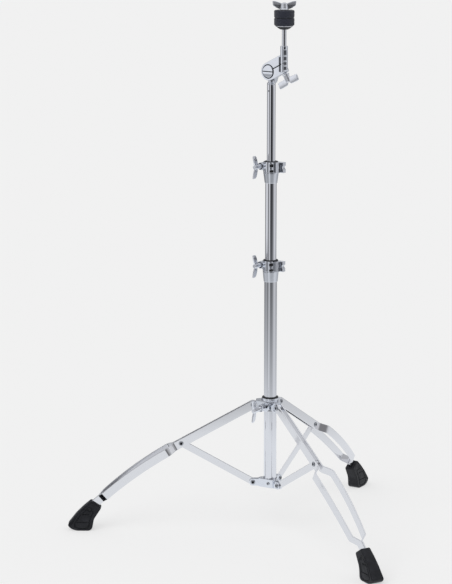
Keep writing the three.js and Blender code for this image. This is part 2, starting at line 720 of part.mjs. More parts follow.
// Tube clamp in its own frame: +X the way the bolt points, +Y towards the hinge, z = 0 at
// the seat where the outer tube ends and the bushing begins.
function clamp(prefix, outerTube, innerTube, ringRadius, seat) {
  const bushingBore = innerTube + tubePlay;
  const bushingOuter = Math.max(bushingBore + clampBushingWall, outerTube + seatGap);
  const bore = bushingOuter + seatGap;
  const top = clampRingHeight;
  const middle = top / 2;
  const halfSplit = clampSplit / 2;
  const wide = clampLugReach * 2;
  const earBack = halfSplit + clampEarThickness;

  const hoop = rod(ringRadius, -overrun, top, tubeSides); // bored out once its ears are on
  const front = block([halfSplit, -wide, seatGap], [wide, wide, top]);
  const rear = block([-wide, -wide, -overrun], [-halfSplit, wide, top]);
  const ear = new THREE.Shape();
  ear.moveTo(clampEarEnd - ringRadius, middle + clampEarEnd);
  ear.lineTo(-clampBoltSide, middle + clampEarEnd);
  ear.absarc(-clampBoltSide, middle, clampEarEnd, Math.PI / 2, 3 * Math.PI / 2, false);
  ear.lineTo(clampEarEnd - ringRadius, middle - clampEarEnd);
  ear.closePath();
  const boltHole = rod(boltRadius + boltPlay, -wide, wide, smallSides).rotateY(Math.PI / 2)
    .translate(0, -clampBoltSide, middle);
  const tubeHole = rod(bore, -overrun, top + overrun, tubeSides);
  const knuckleBottom = top / 3;
  const knuckleTop = 2 * top / 3;
  const atHinge = (radius, low, high) => rod(radius, low, high, smallSides).translate(0, hingeSide, 0);
  const knuckle = (low, high, extra) => atHinge(hingeKnuckleRadius + extra, low, high);
  const pinHole = atHinge(hingePinRadius + pinPlay, -overrun, top + overrun);

  // Front jaw, with two pockets either side of a rib where its block meets the ring
  const pocketLow = clampShoulderReach - overrun - clampPocketWidth;
  const pocketBack = bore * Math.cos(clampPocketAngle * degrees);
  const pocket = (low) => block(
    [pocketBack, pocketLow, low],
    [ringRadius + overrun, pocketLow + clampPocketWidth, low + clampPocketHeight],
  );
  const jaw = cut(
    joined(
      kept(hoop, front),
      plateYZ(ear, halfSplit, earBack),
      block([halfSplit, bore, seatGap], [clampBlockDepth, clampBlockReach, top]),
      block([clampBlockDepth / 2, bore / 3, seatGap], [clampShoulderDepth, clampShoulderReach, top]),
      knuckle(knuckleBottom + seatGap, knuckleTop - seatGap, 0),
    ),
    tubeHole,
    boltHole,
    pocket(middle + clampRibHeight / 2),
    pocket(middle - clampRibHeight / 2 - clampPocketHeight),
    knuckle(-overrun, knuckleBottom + seatGap, seatGap),
    knuckle(knuckleTop - seatGap, top + overrun, seatGap),
    pinHole,
  );

  // Rear body: cone round the outer tube, half ring, ear, lug with a notch in its end
  const coneBore = outerTube + seatGap;
  const cone = turned([
    [0, -clampConeHeight], [coneBore + clampConeWall, -clampConeHeight],
    [ringRadius - seatGap, -overrun], [ringRadius - seatGap, 0], [0, 0],
  ], tubeSides);
  const notch = rod(clampLugNotch, -wide, wide, smallSides).rotateY(Math.PI / 2)
    .translate(0, clampLugReach + clampLugNotch / 3, middle);
  const body = cut(
    joined(
      cone,
      kept(hoop, rear),
      plateYZ(ear, -earBack, -halfSplit),
      block([-clampLugDepth, bore, 0], [-halfSplit, clampLugReach, top]),
      knuckle(0, knuckleBottom, 0),
      knuckle(knuckleTop, top, 0),
    ),
    rod(coneBore, -clampConeHeight - overrun, overrun, tubeSides),
    rod(bore, 0, top + overrun, tubeSides),
    boltHole,
    notch,
    knuckle(knuckleBottom, knuckleTop, seatGap),
    pinHole,
  );

  const lip = top + seatGap;
  const lipRadius = (bore + ringRadius) / 2;
  const bushing = turned([
    [bushingBore, seatGap], [bushingOuter, seatGap], [bushingOuter, lip], [lipRadius, lip],
    [lipRadius, lip + clampBushingLip], [bushingBore, lip + clampBushingLip],
  ], tubeSides);
  const nut = cut(
    rod(nutFlats / Math.sqrt(3), 0, nutThickness, 6),
    rod(boltRadius + boltPlay, -overrun, nutThickness + overrun, smallSides),
  );
  const nutSeat = -earBack - seatGap;

  const group = turnedGroup(clampAngle, seat);
  put(group, `${prefix}_clamp_body`, castChrome, body);
  put(group, `${prefix}_clamp_jaw`, castChrome, jaw);
  put(group, `${prefix}_clamp_bushing`, blackNylon, bushing);
  put(group, `${prefix}_clamp_hinge_pin`, zinc, atHinge(hingePinRadius, 0, top));
  put(group, `${prefix}_clamp_nut`, zinc,
    nut.rotateZ(Math.PI / 6).rotateY(-Math.PI / 2).translate(nutSeat, -clampBoltSide, middle));
  put(group, `${prefix}_clamp_wing_bolt`, castChrome,
    wingBolt(earBack + seatGap - nutSeat + nutThickness).rotateY(Math.PI / 2)
      .translate(earBack + seatGap, -clampBoltSide, middle));
}

const lowerSeat = baseTop + seatGap;
const upperSeat = lowerSeat + middleTubeShown;
clamp('lower', baseTubeRadius, middleTubeRadius, lowerRingRadius, lowerSeat);
clamp('upper', middleTubeRadius, upperTubeRadius, upperRingRadius, upperSeat);

const middleTop = upperSeat - seatGap;
const middleBottom = middleTop - middleTubeLength;
const middleInner = middleTubeRadius - middleTubeWall;
const middleTube = ring(middleInner, middleTubeRadius, middleBottom, middleTop, tubeSides);
put(stand, 'middle_tube', chrome, middleTube);

const upperTop = upperSeat + upperTubeShown;
const neckPin = rod(neckPinRadius, -upperTubeRadius, upperTubeRadius, smallSides).rotateX(Math.PI / 2);
const neckPinHole = crossRod(neckPinRadius + pinPlay, upperTubeRadius + overrun, 0, 0);
const upperInner = upperTubeRadius - upperTubeWall;
const upperTube = cut(
  ring(upperInner, upperTubeRadius, upperTop - upperTubeLength, upperTop, tubeSides),
  turnedAbout(neckPinHole, upward, tilterAngle).translate(0, 0, upperTop - neckPinDrop),
);
put(stand, 'upper_tube', chrome, upperTube);

// Tilter frame: +X the way the arm points, +Y to the rear, z = 0 on the barrel's axis
const tilter = turnedGroup(tilterAngle, upperTop + tilterRise);
const tubeTop = -tilterRise;

function neck() {
  const plug = upperInner - seatGap;
  const shoulder = tubeTop + seatGap;
  const plugEnd = tubeTop - neckPlugLength;
  const flangeTop = shoulder + neckFlangeThickness;
  const clearBelowArm = -armRadius - seatGap;
  const post = turned([
    [0, plugEnd], [plug - smallChamfer, plugEnd], [plug, plugEnd + smallChamfer],
    [plug, shoulder], [upperTubeRadius, shoulder], [upperTubeRadius, flangeTop],
    [neckRadius, flangeTop + smallChamfer], [neckRadius, clearBelowArm], [0, clearBelowArm],
  ]);
  const cheek = new THREE.Shape();
  cheek.absarc(0, 0, cheekRadius, 0, Math.PI, false);
  cheek.lineTo(-neckRadius, flangeTop);
  cheek.lineTo(neckRadius, flangeTop);
  cheek.closePath();
  const whole = joined(
    post,
    plateXZ(cheek, seatGap, cheekThickness, 8),
    rod(barrelRadius, -cheekThickness / 2, barrelReach, tubeSides).rotateX(Math.PI / 2),
  );
  const slot = block(
    [-barrelRadius - overrun, -barrelReach - overrun, -barrelSlotWidth / 2],
    [barrelRadius + overrun, -barrelReach + barrelSlotDepth, barrelSlotWidth / 2],
  );
  return cut(whole, slot, neckPinHole.clone().translate(0, 0, tubeTop - neckPinDrop));
}

put(tilter, 'tilter_neck', castChrome, neck());
put(tilter, 'neck_pin', zinc, neckPin.clone().translate(0, 0, tubeTop - neckPinDrop));

// Split arm: it grips the barrel and carries the rod holder; its jaws are drawn together by
// the wing bolt. The arm is drawn level, then turned up to its slope about the barrel.
function arm() {
  const outline = new THREE.Shape();
  outline.moveTo(0, armRadius);
  outline.absarc(0, 0, armRadius, Math.PI / 2, 3 * Math.PI / 2, false);
  outline.lineTo(armReach - armEndDrop, -armRadius);
  outline.quadraticCurveTo(armReach, -armRadius, armReach, -armEndDrop);
  outline.lineTo(armReach, armRadius);
  outline.closePath();
  const level = plateXZ(outline, -armThickness, 0, 8);
  const split = block(
    [barrelRadius / 2, -armThickness - overrun, -armSplit / 2],
    [armReach + overrun, overrun, armSplit / 2],
  );
  const bore = crossRod(barrelRadius + seatGap, armThickness + overrun, 0, 0, tubeSides);
  const boltBore = rod(boltRadius + seatGap, -armRadius - overrun, armRadius / 2, smallSides)
    .translate(armBoltReach, -armThickness / 2, 0);
  const sloped = (geometry) => geometry.rotateY(-tilterSlope * degrees);
  const holder = turned([
    [0, holderBottom], [holderRadius, holderBottom], [holderRadius, holderTop - holderChamfer],
    [holderRadius - holderChamfer, holderTop], [0, holderTop],
  ]).translate(holderSide, -armThickness / 2, 0);
  const rodBore = rod(rodRadius + seatGap, holderTop - rodSocketDepth, holderTop + overrun)
    .translate(holderSide, -armThickness / 2, 0);
  return cut(joined(sloped(level), holder), sloped(bore), sloped(split), sloped(boltBore), rodBore);
}

put(tilter, 'tilter_arm', castChrome, arm());

const armBolt = wingBolt(armBoltStandoff + armRadius * 3 / 2 - seatGap);
armBolt.rotateX(Math.PI).translate(armBoltReach, -armThickness / 2, -armRadius - armBoltStandoff);
put(tilter, 'tilter_wing_bolt', castChrome, armBolt.rotateY(-tilterSlope * degrees));

// Cymbal rod: thick below the cup, threaded above
const mast = new THREE.Group();
mast.position.set(holderSide, -armThickness / 2, 0);
tilter.add(mast);

const rodBottom = holderTop - rodSocketDepth + seatGap;
const seatBottom = holderTop + rodShown;
const cupBottom = seatBottom + seatHeight;
const lowerFeltBottom = cupBottom + cupRim;
const upperFeltBottom = lowerFeltBottom + feltThickness + seatGap;
const feltTop = upperFeltBottom + feltThickness;
const nutBottom = feltTop + seatGap;
const rodTop = nutBottom + nutHubHeight + rodTipProud;
const sleeveInner = rodThreadRadius + seatGap;
const sleeveOuter = sleeveInner + sleeveWall;

put(mast, 'cymbal_rod', chrome, turned([
  [0, rodBottom], [rodRadius, rodBottom], [rodRadius, seatBottom], [rodThreadRadius, seatBottom],
  [rodThreadRadius, rodTop - smallChamfer], [rodThreadRadius - smallChamfer, rodTop], [0, rodTop],
]));

// The sleeve's foot is the black seat that the cup stands on, wider at its top
put(mast, 'rod_sleeve', blackNylon, turned([
  [sleeveInner, seatBottom + seatGap], [seatRadius, seatBottom + seatGap],
  [seatTopRadius, cupBottom - smallChamfer], [seatTopRadius - smallChamfer, cupBottom],
  [sleeveOuter, cupBottom],
  [sleeveOuter, feltTop - seatGap], [sleeveInner, feltTop - seatGap],
]));

const cupHole = sleeveOuter + seatGap;
put(mast, 'cup_washer', chrome, turned([
  [cupHole, cupBottom + seatGap], [cupFlatRadius, cupBottom + seatGap],
  [cupRadius, cupBottom + cupRim - cupThickness],
  [cupRadius, cupBottom + cupRim - seatGap], [cupRadius - cupThickness, cupBottom + cupRim - seatGap],
  [cupFlatRadius, cupBottom + seatGap + cupThickness], [cupHole, cupBottom + seatGap + cupThickness],
], tubeSides));

function feltDisc(bottom) {
  const edge = feltThickness / 6;
  const top = bottom + feltThickness;
  return turned([
    [cupHole, bottom], [feltRadius - edge, bottom], [feltRadius, bottom + edge],
    [feltRadius, top - edge], [feltRadius - edge, top], [cupHole, top],
  ], tubeSides);
}

put(mast, 'lower_felt', felt, feltDisc(lowerFeltBottom));
put(mast, 'upper_felt', felt, feltDisc(upperFeltBottom));

const nutHub = turned([
  [0, 0], [nutFlangeRadius, 0], [nutFlangeRadius, nutFlangeThickness],
  [nutHubRadius, nutFlangeThickness + smallChamfer], [nutHubTipRadius, nutHubHeight], [0, nutHubHeight],
]);
const nutBore = rod(rodThreadRadius + seatGap, -overrun, nutHubHeight + overrun, smallSides);
const wingNut = cut(joined(nutHub, wings(nutHubTipRadius).translate(0, 0, nutWingRise)), nutBore);
put(mast, 'wing_nut', castChrome, wingNut.rotateZ(nutTurn * degrees).translate(0, 0, nutBottom));

// The whole stand rests on z = 0, with its box centred on x = 0 and y = 0.
stand.updateMatrixWorld(true);
const box = new THREE.Box3().setFromObject(stand, true);
const centre = box.getCenter(new THREE.Vector3());
stand.position.set(-centre.x, -centre.y, -box.min.z);

export default stand;
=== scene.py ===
"""Straight cymbal stand: fine meshes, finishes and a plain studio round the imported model.

Sizes are in millimetres and angles in degrees, unless a name says otherwise. Each piece is
drawn in a frame of its own on the column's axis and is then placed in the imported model.
"""

import json
import logging
from collections.abc import Iterable, Sequence
from dataclasses import dataclass, field
from enum import Enum
from math import cos, dist, hypot, pi, radians, sin, sqrt

import bmesh
import bpy
from mathutils import Matrix, Vector, noise

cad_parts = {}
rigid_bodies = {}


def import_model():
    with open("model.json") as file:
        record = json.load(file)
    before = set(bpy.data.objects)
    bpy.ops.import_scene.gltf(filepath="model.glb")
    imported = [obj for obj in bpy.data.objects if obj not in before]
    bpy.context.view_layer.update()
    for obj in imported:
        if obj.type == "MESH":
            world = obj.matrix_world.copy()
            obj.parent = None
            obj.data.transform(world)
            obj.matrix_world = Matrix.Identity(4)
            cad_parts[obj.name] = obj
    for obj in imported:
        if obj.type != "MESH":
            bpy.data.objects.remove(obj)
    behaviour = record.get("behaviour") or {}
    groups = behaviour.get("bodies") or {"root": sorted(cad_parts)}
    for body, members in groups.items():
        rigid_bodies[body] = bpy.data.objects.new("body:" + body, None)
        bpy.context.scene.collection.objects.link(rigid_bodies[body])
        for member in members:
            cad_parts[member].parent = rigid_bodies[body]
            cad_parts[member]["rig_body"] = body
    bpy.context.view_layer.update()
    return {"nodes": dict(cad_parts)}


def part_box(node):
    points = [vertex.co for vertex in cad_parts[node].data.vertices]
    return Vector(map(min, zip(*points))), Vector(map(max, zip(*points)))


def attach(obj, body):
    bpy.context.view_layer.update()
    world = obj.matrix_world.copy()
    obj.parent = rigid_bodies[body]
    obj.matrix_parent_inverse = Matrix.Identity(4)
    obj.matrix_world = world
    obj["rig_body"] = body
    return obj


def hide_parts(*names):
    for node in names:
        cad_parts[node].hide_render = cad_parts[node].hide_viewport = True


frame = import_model()

log = logging.getLogger("cymbal_stand")

MM = 0.001
GAP = 0.3  # between pieces that rest on each other
OVERRUN = 2.0  # how far a cutter stands out of what it cuts
BEYOND = 60.0  # from the column's axis, outside any clamp or collar
NEARLY_ZERO = 1e-6
Y_AXIS = Vector((0, 1, 0))
BASE_TUBE, MIDDLE_TUBE, UPPER_TUBE = 14.3, 12.7, 9.5  # outer radii
BOLT_RADIUS = 4.0
ROD_RADIUS = 5.0
LEG_ANGLES = {"left": 180.0, "front": 300.0, "back": 60.0}
HALF_SPACING = 60.0  # from a leg to the flat face between it and the next

BUSHING_EDGE = 0.5

# Faces round a turned form: few for a bolt's hole, most for a tube.
HEXAGON = 6
FEW = 32
PIN_SIDES = 40
SOME = 48
MANY = 64
MOST = 96
HALF_ROUND = 24  # stretches of a half circle in an outline
LOBE = 40  # stretches of the tilter's larger half circles

Form = bmesh.types.BMesh
Point = tuple[float, float]
Points = tuple[Point, ...]
Triple = tuple[float, float, float]
Curve = tuple[float, float, float, float]
Node = bpy.types.Node
Tree = bpy.types.NodeTree
Socket = bpy.types.NodeSocket


# Materials


def linear(colour: str) -> tuple[float, float, float, float]:
    """Turns an sRGB colour into a linear one.

    Args:
        colour: Six hex digits, such as "C9CCD2".

    Returns:
        Linear red, green, blue and an alpha of 1.
    """
    shares = [int(colour[i:i + 2], 16) / 255 for i in (0, 2, 4)]
    return (*[s / 12.92 if s <= 0.04045 else ((s + 0.055) / 1.055) ** 2.4 for s in shares], 1.0)


def per_metre(size: float) -> float:
    """Returns how many features of a size in millimetres fit in a metre."""
    return 1 / (size * MM)


def add(
    tree: Tree, kind: str, inputs: dict[str | int, object] | None = None, **settings: object
) -> Node:
    """Adds a node with its settings and links.

    Args:
        tree: The node tree that gets the node.
        kind: The node's type without its "ShaderNode" prefix.
        inputs: Input name or index to a value, or to the output that it is linked to.
        **settings: The node's own properties.

    Returns:
        The new node.
    """
    made = tree.nodes.new("ShaderNode" + kind)
    for name, value in settings.items():
        setattr(made, name, value)
    for name, value in (inputs or {}).items():
        if isinstance(value, Socket):
            tree.links.new(value, made.inputs[name])
        else:
            made.inputs[name].default_value = value
    return made


def emptied(owner: bpy.types.Material | bpy.types.World) -> Tree:
    """Gives a new material or world an empty node tree.

    Args:
        owner: The material or the world.

    Returns:
        The tree.
    """
    owner.use_nodes = True
    owner.node_tree.nodes.clear()
    return owner.node_tree


@dataclass(frozen=True)
class Finish:
    """A surface: what it is made of and how that was finished.

    A finish has patches of slightly different gloss, with a size in millimetres, and a
    fine relief with a grain size and a depth in millimetres.
    """

    name: str
    slot: str
    colour: str
    roughness: float
    metallic: float = 0.0
    gloss_spread: float = 0.02
    gloss_patch: float = 30.0
    least_roughness: float = 0.02
    noise_low: float = 0.3
    noise_high: float = 0.7
    grain: float = 4.0
    grain_depth: float = 0.01
    stretch: Triple = (1.0, 1.0, 1.0)

    def material(self) -> bpy.types.Material:
        """Makes this finish's material the first time that it is asked for.

        Returns:
            The material that every piece of this finish has.
        """
        found = bpy.data.materials.get(self.name)
        if found:
            return found
        made = bpy.data.materials.new(self.name)
        self.draw(emptied(made))
        return made

    def draw(self, tree: Tree) -> None:
        """Draws the shader, its patches of gloss and its relief.

        Args:
            tree: The material's empty node tree.
        """
        place = add(tree, "TexCoord").outputs["Object"]
        shader = add(tree, "BsdfPrincipled", {
            "Metallic": self.metallic,
            "Roughness": self.gloss(tree, place),
            "Normal": self.relief(tree, place),
        })
        self.dye(tree, place, shader)
        add(tree, "OutputMaterial", {"Surface": shader.outputs[0]})

    def dye(self, tree: Tree, place: Socket, shader: Node) -> None:
        """Sets the base colour, the same all over."""
        shader.inputs["Base Color"].default_value = linear(self.colour)

    def gloss(self, tree: Tree, place: Socket) -> Socket:
        """Draws soft patches of more and less gloss.

        Args:
            tree: The material's node tree.
            place: The point's place on the piece.

        Returns:
            The roughness, round its typical value.
        """
        patches = add(tree, "TexNoise", {
            "Vector": place, "Scale": per_metre(self.gloss_patch), "Detail": 4.0,
        })
        return add(tree, "MapRange", {
            "Value": patches.outputs["Fac"],
            "From Min": self.noise_low,
            "From Max": self.noise_high,
            "To Min": max(self.roughness - self.gloss_spread, self.least_roughness),
            "To Max": self.roughness + self.gloss_spread,
        }).outputs["Result"]

    def relief(self, tree: Tree, place: Socket) -> Socket:
        """Draws the fine relief.

        Args:
            tree: The material's node tree.
            place: The point's place on the piece.

        Returns:
            The normal.
        """
        drawn = add(tree, "Mapping", {"Vector": place, "Scale": self.stretch})
        grain = add(tree, "TexNoise", {
            "Vector": drawn.outputs["Vector"], "Scale": per_metre(self.grain), "Detail": 3.0,
        })
        return add(tree, "Bump", {
            "Height": grain.outputs["Fac"], "Distance": self.grain_depth * MM, "Strength": 1.0,
        }).outputs["Normal"]


@dataclass(frozen=True)
class FleckedFinish(Finish):
    """A finish with a second colour in flecks or patches of a size in millimetres."""

    second_colour: str = "FFFFFF"
    fleck: float = 1.0
    fleck_span: Point = (0.4, 0.7)
    fleck_detail: float = 5.0
    fleck_roughness: float = 0.5
    fleck_curl: float = 0.0
    others: tuple[tuple[str, float], ...] = ()

    def dye(self, tree: Tree, place: Socket, shader: Node) -> None:
        """Mixes the two colours, and sets the shader's other sockets.

        Args:
            tree: The material's node tree.
            place: The point's place on the piece.
            shader: The shader that is dyed.
        """
        flecks = add(tree, "TexNoise", {
            "Vector": place, "Scale": per_metre(self.fleck), "Detail": self.fleck_detail,
            "Roughness": self.fleck_roughness, "Distortion": self.fleck_curl,
        })
        low, high = self.fleck_span
        share = add(tree, "MapRange", {
            "Value": flecks.outputs["Fac"], "From Min": low, "From Max": high,
        })
        mixed = add(tree, "Mix", {
            0: share.outputs["Result"], 6: linear(self.colour), 7: linear(self.second_colour),
        }, data_type="RGBA")
        tree.links.new(mixed.outputs[2], shader.inputs["Base Color"])
        for name, value in self.others:
            shader.inputs[name].default_value = value


# Grains of about a millimetre are coarser than the real ones, so that they show.

# Bright chrome on drawn steel tube: a mirror with the faintest lines along the tube.
TUBE_CHROME = Finish(
    "chromed_tube", "tube_chrome", "E4E5E9", 0.05, 1.0,
    gloss_spread=0.015, grain=1.2, grain_depth=0.0012, stretch=(1.0, 1.0, 0.01),
)
# Bright chrome on rolled and bent steel strip: a mirror with the strip's slight waves.
STRAP_CHROME = Finish(
    "chromed_strip", "strap_chrome", "E4E4E6", 0.08, 1.0,
    gloss_spread=0.02, grain=24.0, grain_depth=0.03,
)
# Chrome on zinc castings: softer than the tubes, with the polisher's waves under it.
CAST_CHROME = Finish(
    "chromed_casting", "cast_chrome", "E3E6EC", 0.09, 1.0,
    gloss_spread=0.03, gloss_patch=14.0, grain=9.0, grain_depth=0.08,
)
# Tumbled chrome on the wings: the casting's skin shows through, so it mirrors softly.
WING_CHROME = Finish(
    "chromed_wing", "cast_chrome", "ECEEF3", 0.24, 1.0,
    gloss_spread=0.05, gloss_patch=12.0, grain=6.0, grain_depth=0.05,
)
# Zinc plate on steel pins and nuts: grey and a little dull.
ZINC_PLATE = Finish(
    "zinc_plate", "zinc_steel", "B4B6BB", 0.26, 1.0,
    gloss_spread=0.08, gloss_patch=4.0, grain=1.0, grain_depth=0.01,
)
# Blackened steel on the rivets sunk in the rubber feet and on the neck's cross pin: dark,
# with a dull shine. The oxide over the steel doesn't mirror as a metal does.
BLACKED_STEEL = Finish(
    "blacked_steel", "black_steel", "101113", 0.5,
    gloss_spread=0.06, gloss_patch=3.0, grain=1.0, grain_depth=0.01,
)
# Painted shade: a dark matt fill set into the castings' grooves, slots, splits, pockets and
# hollows, where shade falls.
PAINTED_SHADE_FILL = Finish(
    "painted_shade_fill", "cast_chrome", "0E0E10", 0.7,
    gloss_spread=0.08, gloss_patch=3.0, grain=0.6, grain_depth=0.05,
)
# Painted shade: nearly black metal set into the dimples of the pins' heads and into the collar
# screws' sockets, where shade falls.
PAINTED_SHADE_STEEL = Finish(
    "painted_shade_steel", "zinc_steel", "26272B", 0.5, 1.0,
    gloss_spread=0.08, gloss_patch=2.0, grain=0.8, grain_depth=0.02,
)
# Moulded nylon on the bushings and the rod's sleeve, and a thin black layer on the cup's underside
# that makes the cup look dark there: black, half matt.
BLACK_NYLON_AND_DARK_LAYER = Finish(
    "moulded_nylon_and_dark_layer", "black_nylon", "0D0E10", 0.45,
    gloss_spread=0.05, grain=0.8, grain_depth=0.02,
)
# Moulded rubber on the feet: near black and matt, a little grey where it has bloomed.
BLACK_RUBBER = FleckedFinish(
    "moulded_rubber", "black_rubber", "0D0E13", 0.55,
    gloss_spread=0.07, gloss_patch=10.0, grain=1.1, grain_depth=0.05,
    second_colour="1B1C21", fleck=18.0, others=(("Specular IOR Level", 0.35),),
)
# Pressed wool felt: charcoal, with a faint sheen of loose ends and no shine, and flecked
# by paler fibres, which are drawn far thicker than real ones so that they show.
GREY_FELT = FleckedFinish(
    "pressed_felt", "felt", "181B25", 0.95,
    gloss_spread=0.03, grain=0.7, grain_depth=0.35,
    second_colour="3E4252", fleck=0.9, fleck_span=(0.45, 0.75), fleck_detail=6.0,
    fleck_roughness=0.7, fleck_curl=1.5,
    others=(("Sheen Weight", 0.12), ("Sheen Roughness", 0.6)),
)


# Outlines, drawn as lists of points


def arc(centre: Point, radius: float, start: float, end: float, steps: int = 16) -> list[Point]:
    """Returns the points of an arc, its two ends among them."""
    turns = [radians(start + (end - start) * i / steps) for i in range(steps + 1)]
    return [(centre[0] + radius * cos(t), centre[1] + radius * sin(t)) for t in turns]


def tongue(root: float, pivot: float, end: float) -> list[Point]:
    """Returns the outline of a tongue from its root to a round end about a pivot."""
    return [(root, -end), *arc((pivot, 0), end, -90, 90, HALF_ROUND), (root, end)]


def band(inner: float, outer: float, low: float, high: float) -> list[Point]:
    """Returns the four corners between two radii, or two sides, and two heights."""
    return [(inner, low), (outer, low), (outer, high), (inner, high)]


def faceted(radius: float, root_angle: float) -> list[Point]:
    """Returns the outline, seen from above, of a body with a flat face between each two legs."""
    turns = sorted(a % 360 + side * root_angle for a in LEG_ANGLES.values() for side in (-1, 1))
    return [(radius * cos(radians(t)), radius * sin(radians(t))) for t in turns]


def on_curve(start: Vector, corner: Vector, end: Vector, share: float) -> Vector:
    """Returns the point a share of the way along a curve that a corner pulls out."""
    return start * (1 - share) ** 2 + corner * (2 * share * (1 - share)) + end * share ** 2


def rounded(
    points: Sequence[Point], radius: float, closed: bool = True, steps: int = 4
) -> list[Point]:
    """Rounds the corners of an outline.

    Args:
        points: The outline's corners.
        radius: How far from its corner each curve starts, at most.
        closed: Whether the last point joins the first.
        steps: The stretches of each curve.

    Returns:
        The outline with its corners replaced by curves.
    """
    most_of_side = 0.49
    nearest = radius * 0.04
    count = len(points)
    result: list[Point] = []
    for i, point in enumerate(points):
        if not closed and i in (0, count - 1):
            result.append(tuple(point))
            continue
        corner = Vector(point)
        before = Vector(points[i - 1]) - corner
        after = Vector(points[(i + 1) % count]) - corner
        if min(before.length, after.length) < NEARLY_ZERO:
            continue
        reach = min(radius, before.length * most_of_side, after.length * most_of_side)
        start = corner + before.normalized() * reach
        end = corner + after.normalized() * reach
        curve = [on_curve(start, corner, end, k / steps) for k in range(steps + 1)]
        result += [(at.x, at.y) for at in curve]
    return [p for i, p in enumerate(result) if i == 0 or dist(p, result[i - 1]) > nearest]


def inset(points: Sequence[Point], depth: float) -> list[Point]:
    """Draws a closed outline in.

    Args:
        points: The outline, which runs anticlockwise.
        depth: How far its sides move in.

    Returns:
        The smaller outline, with as many points.
    """
    least_square = 0.3  # keeps a sharp corner from shooting in
    count = len(points)
    result = []
    for i, point in enumerate(points):
        ahead = (Vector(points[(i + 1) % count]) - Vector(point)).normalized()
        behind = (Vector(point) - Vector(points[i - 1])).normalized()
        normal = Vector((-ahead.y - behind.y, ahead.x + behind.x))
        square = max(normal.length_squared / 2, least_square)
        moved_in = Vector(point) + normal * (depth / square)
        result.append((moved_in.x, moved_in.y))
    return result


# Forms: closed meshes in millimetres


class Axis(Enum):
    """An axis to turn a form about."""

    X = "X"
    Y = "Y"
    Z = "Z"


class Cut(Enum):
    """How one form changes another."""

    JOIN = "UNION"
    AWAY = "DIFFERENCE"
    INSIDE = "INTERSECT"


def skin(rows: Sequence[Sequence[Vector]]) -> Form:
    """Makes a form from rows of points that each run once round it.

    Args:
        rows: The rows, all with as many points. The first and the last are closed.

    Returns:
        The form, facing out.
    """
    form = bmesh.new()
    made = [[form.verts.new(p) for p in row] for row in rows]
    for low, high in zip(made, made[1:]):
        for i in range(len(low)):
            k = (i + 1) % len(low)
            form.faces.new((low[i], low[k], high[k], high[i]))
    form.faces.new(list(reversed(made[0])))
    form.faces.new(made[-1])
    bmesh.ops.recalc_face_normals(form, faces=form.faces)
    return form


def revolve(profile: Sequence[Point], segments: int = MANY) -> Form:
    """Turns a profile of radius and height about the z axis.

    Args:
        profile: Its points. It starts and ends on the axis, or closes on itself.
        segments: The faces round it.

    Returns:
        The turned form.
    """
    form = bmesh.new()
    turns = [2 * pi * i / segments for i in range(segments)]
    rings = []
    for radius, height in profile:
        ring = [(radius * cos(t), radius * sin(t), height) for t in turns]
        on_axis = radius < NEARLY_ZERO
        rings.append([form.verts.new(p) for p in ([(0, 0, height)] if on_axis else ring)])
    solid = len(rings[0]) == 1
    for low, high in zip(rings, rings[1:] if solid else rings[1:] + rings[:1]):
        for i in range(segments):
            k = (i + 1) % segments
            below = (low[i % len(low)], low[k % len(low)])
            above = (high[k % len(high)], high[i % len(high)])
            unique = list(dict.fromkeys(below + above))
            if len(unique) > 2:
                form.faces.new(unique)
    bmesh.ops.recalc_face_normals(form, faces=form.faces)
    return form


def rod(radius: float, low: float, high: float, segments: int = MANY) -> Form:
    """Returns a plain rod along z."""
    return revolve(band(0, radius, low, high), segments)


def turned(profile: Sequence[Point], edge: float, segments: int = MANY) -> Form:
    """Turns a profile whose corners are rounded first."""
    on_axis = profile[0][0] < NEARLY_ZERO
    return revolve(rounded(profile, edge, closed=not on_axis), segments)


def slab(outline: Sequence[Point], low: float, high: float, edge: float = 0.0) -> Form:
    """Makes a flat plate of an outline, from z = low to z = high.

    Args:
        outline: Points that run anticlockwise.
        low: The lower face.
        high: The upper face.
        edge: The rounding of its edges.

    Returns:
        The plate.
    """
    steps = 3 if edge else 0
    rims = []
    for k in range(steps + 1):
        turn = radians(90 * k / steps) if steps else pi / 2
        rims.append((inset(outline, edge * (1 - sin(turn))), edge * (1 - cos(turn))))
    below = [[Vector((x, y, low + rise)) for x, y in rim] for rim, rise in rims]
    above = [[Vector((x, y, high - rise)) for x, y in rim] for rim, rise in reversed(rims)]
    return skin([*below, *above])


def block(low: Sequence[float], high: Sequence[float]) -> Form:
    """Returns a box between two corners."""
    return slab(band(low[0], high[0], low[1], high[1]), low[2], high[2])


def moved(form: Form, x: float = 0.0, y: float = 0.0, z: float = 0.0) -> Form:
    """Moves a form and returns it."""
    form.transform(Matrix.Translation((x, y, z)))
    return form


def spun(form: Form, angle: float, axis: Axis = Axis.Z) -> Form:
    """Turns a form about an axis through the origin and returns it."""
    form.transform(Matrix.Rotation(radians(angle), 4, axis.value))
    return form


def upright(form: Form) -> Form:
    """Turns x and y to x and z, so that what stood along z lies across y."""
    return spun(form, 90, Axis.X)


def facing(form: Form) -> Form:
    """Turns what is drawn on x and y to stand on y and z, with its thickness along x."""
    standing = Matrix.Rotation(radians(90), 4, "X")
    form.transform(Matrix.Rotation(radians(90), 4, "Z") @ standing)
    return form


def along_x(form: Form) -> Form:
    """Lays what stands along z down along x."""
    return spun(form, 90, Axis.Y)


def cross_rod(radius: float, half: float, x: float, z: float, segments: int = FEW) -> Form:
    """Returns a rod across y, centred at a place on x and z."""
    return moved(upright(rod(radius, -half, half, segments)), x, 0, z)


def gathered(forms: Iterable[Form]) -> Form:
    """Puts several forms in one mesh, each still closed on its own.

    Args:
        forms: The forms, each in its place.

    Returns:
        A form that holds them all.
    """
    whole = bmesh.new()
    for form in forms:
        mesh = bpy.data.meshes.new("part")
        form.to_mesh(mesh)
        whole.from_mesh(mesh)
        bpy.data.meshes.remove(mesh)
    return whole


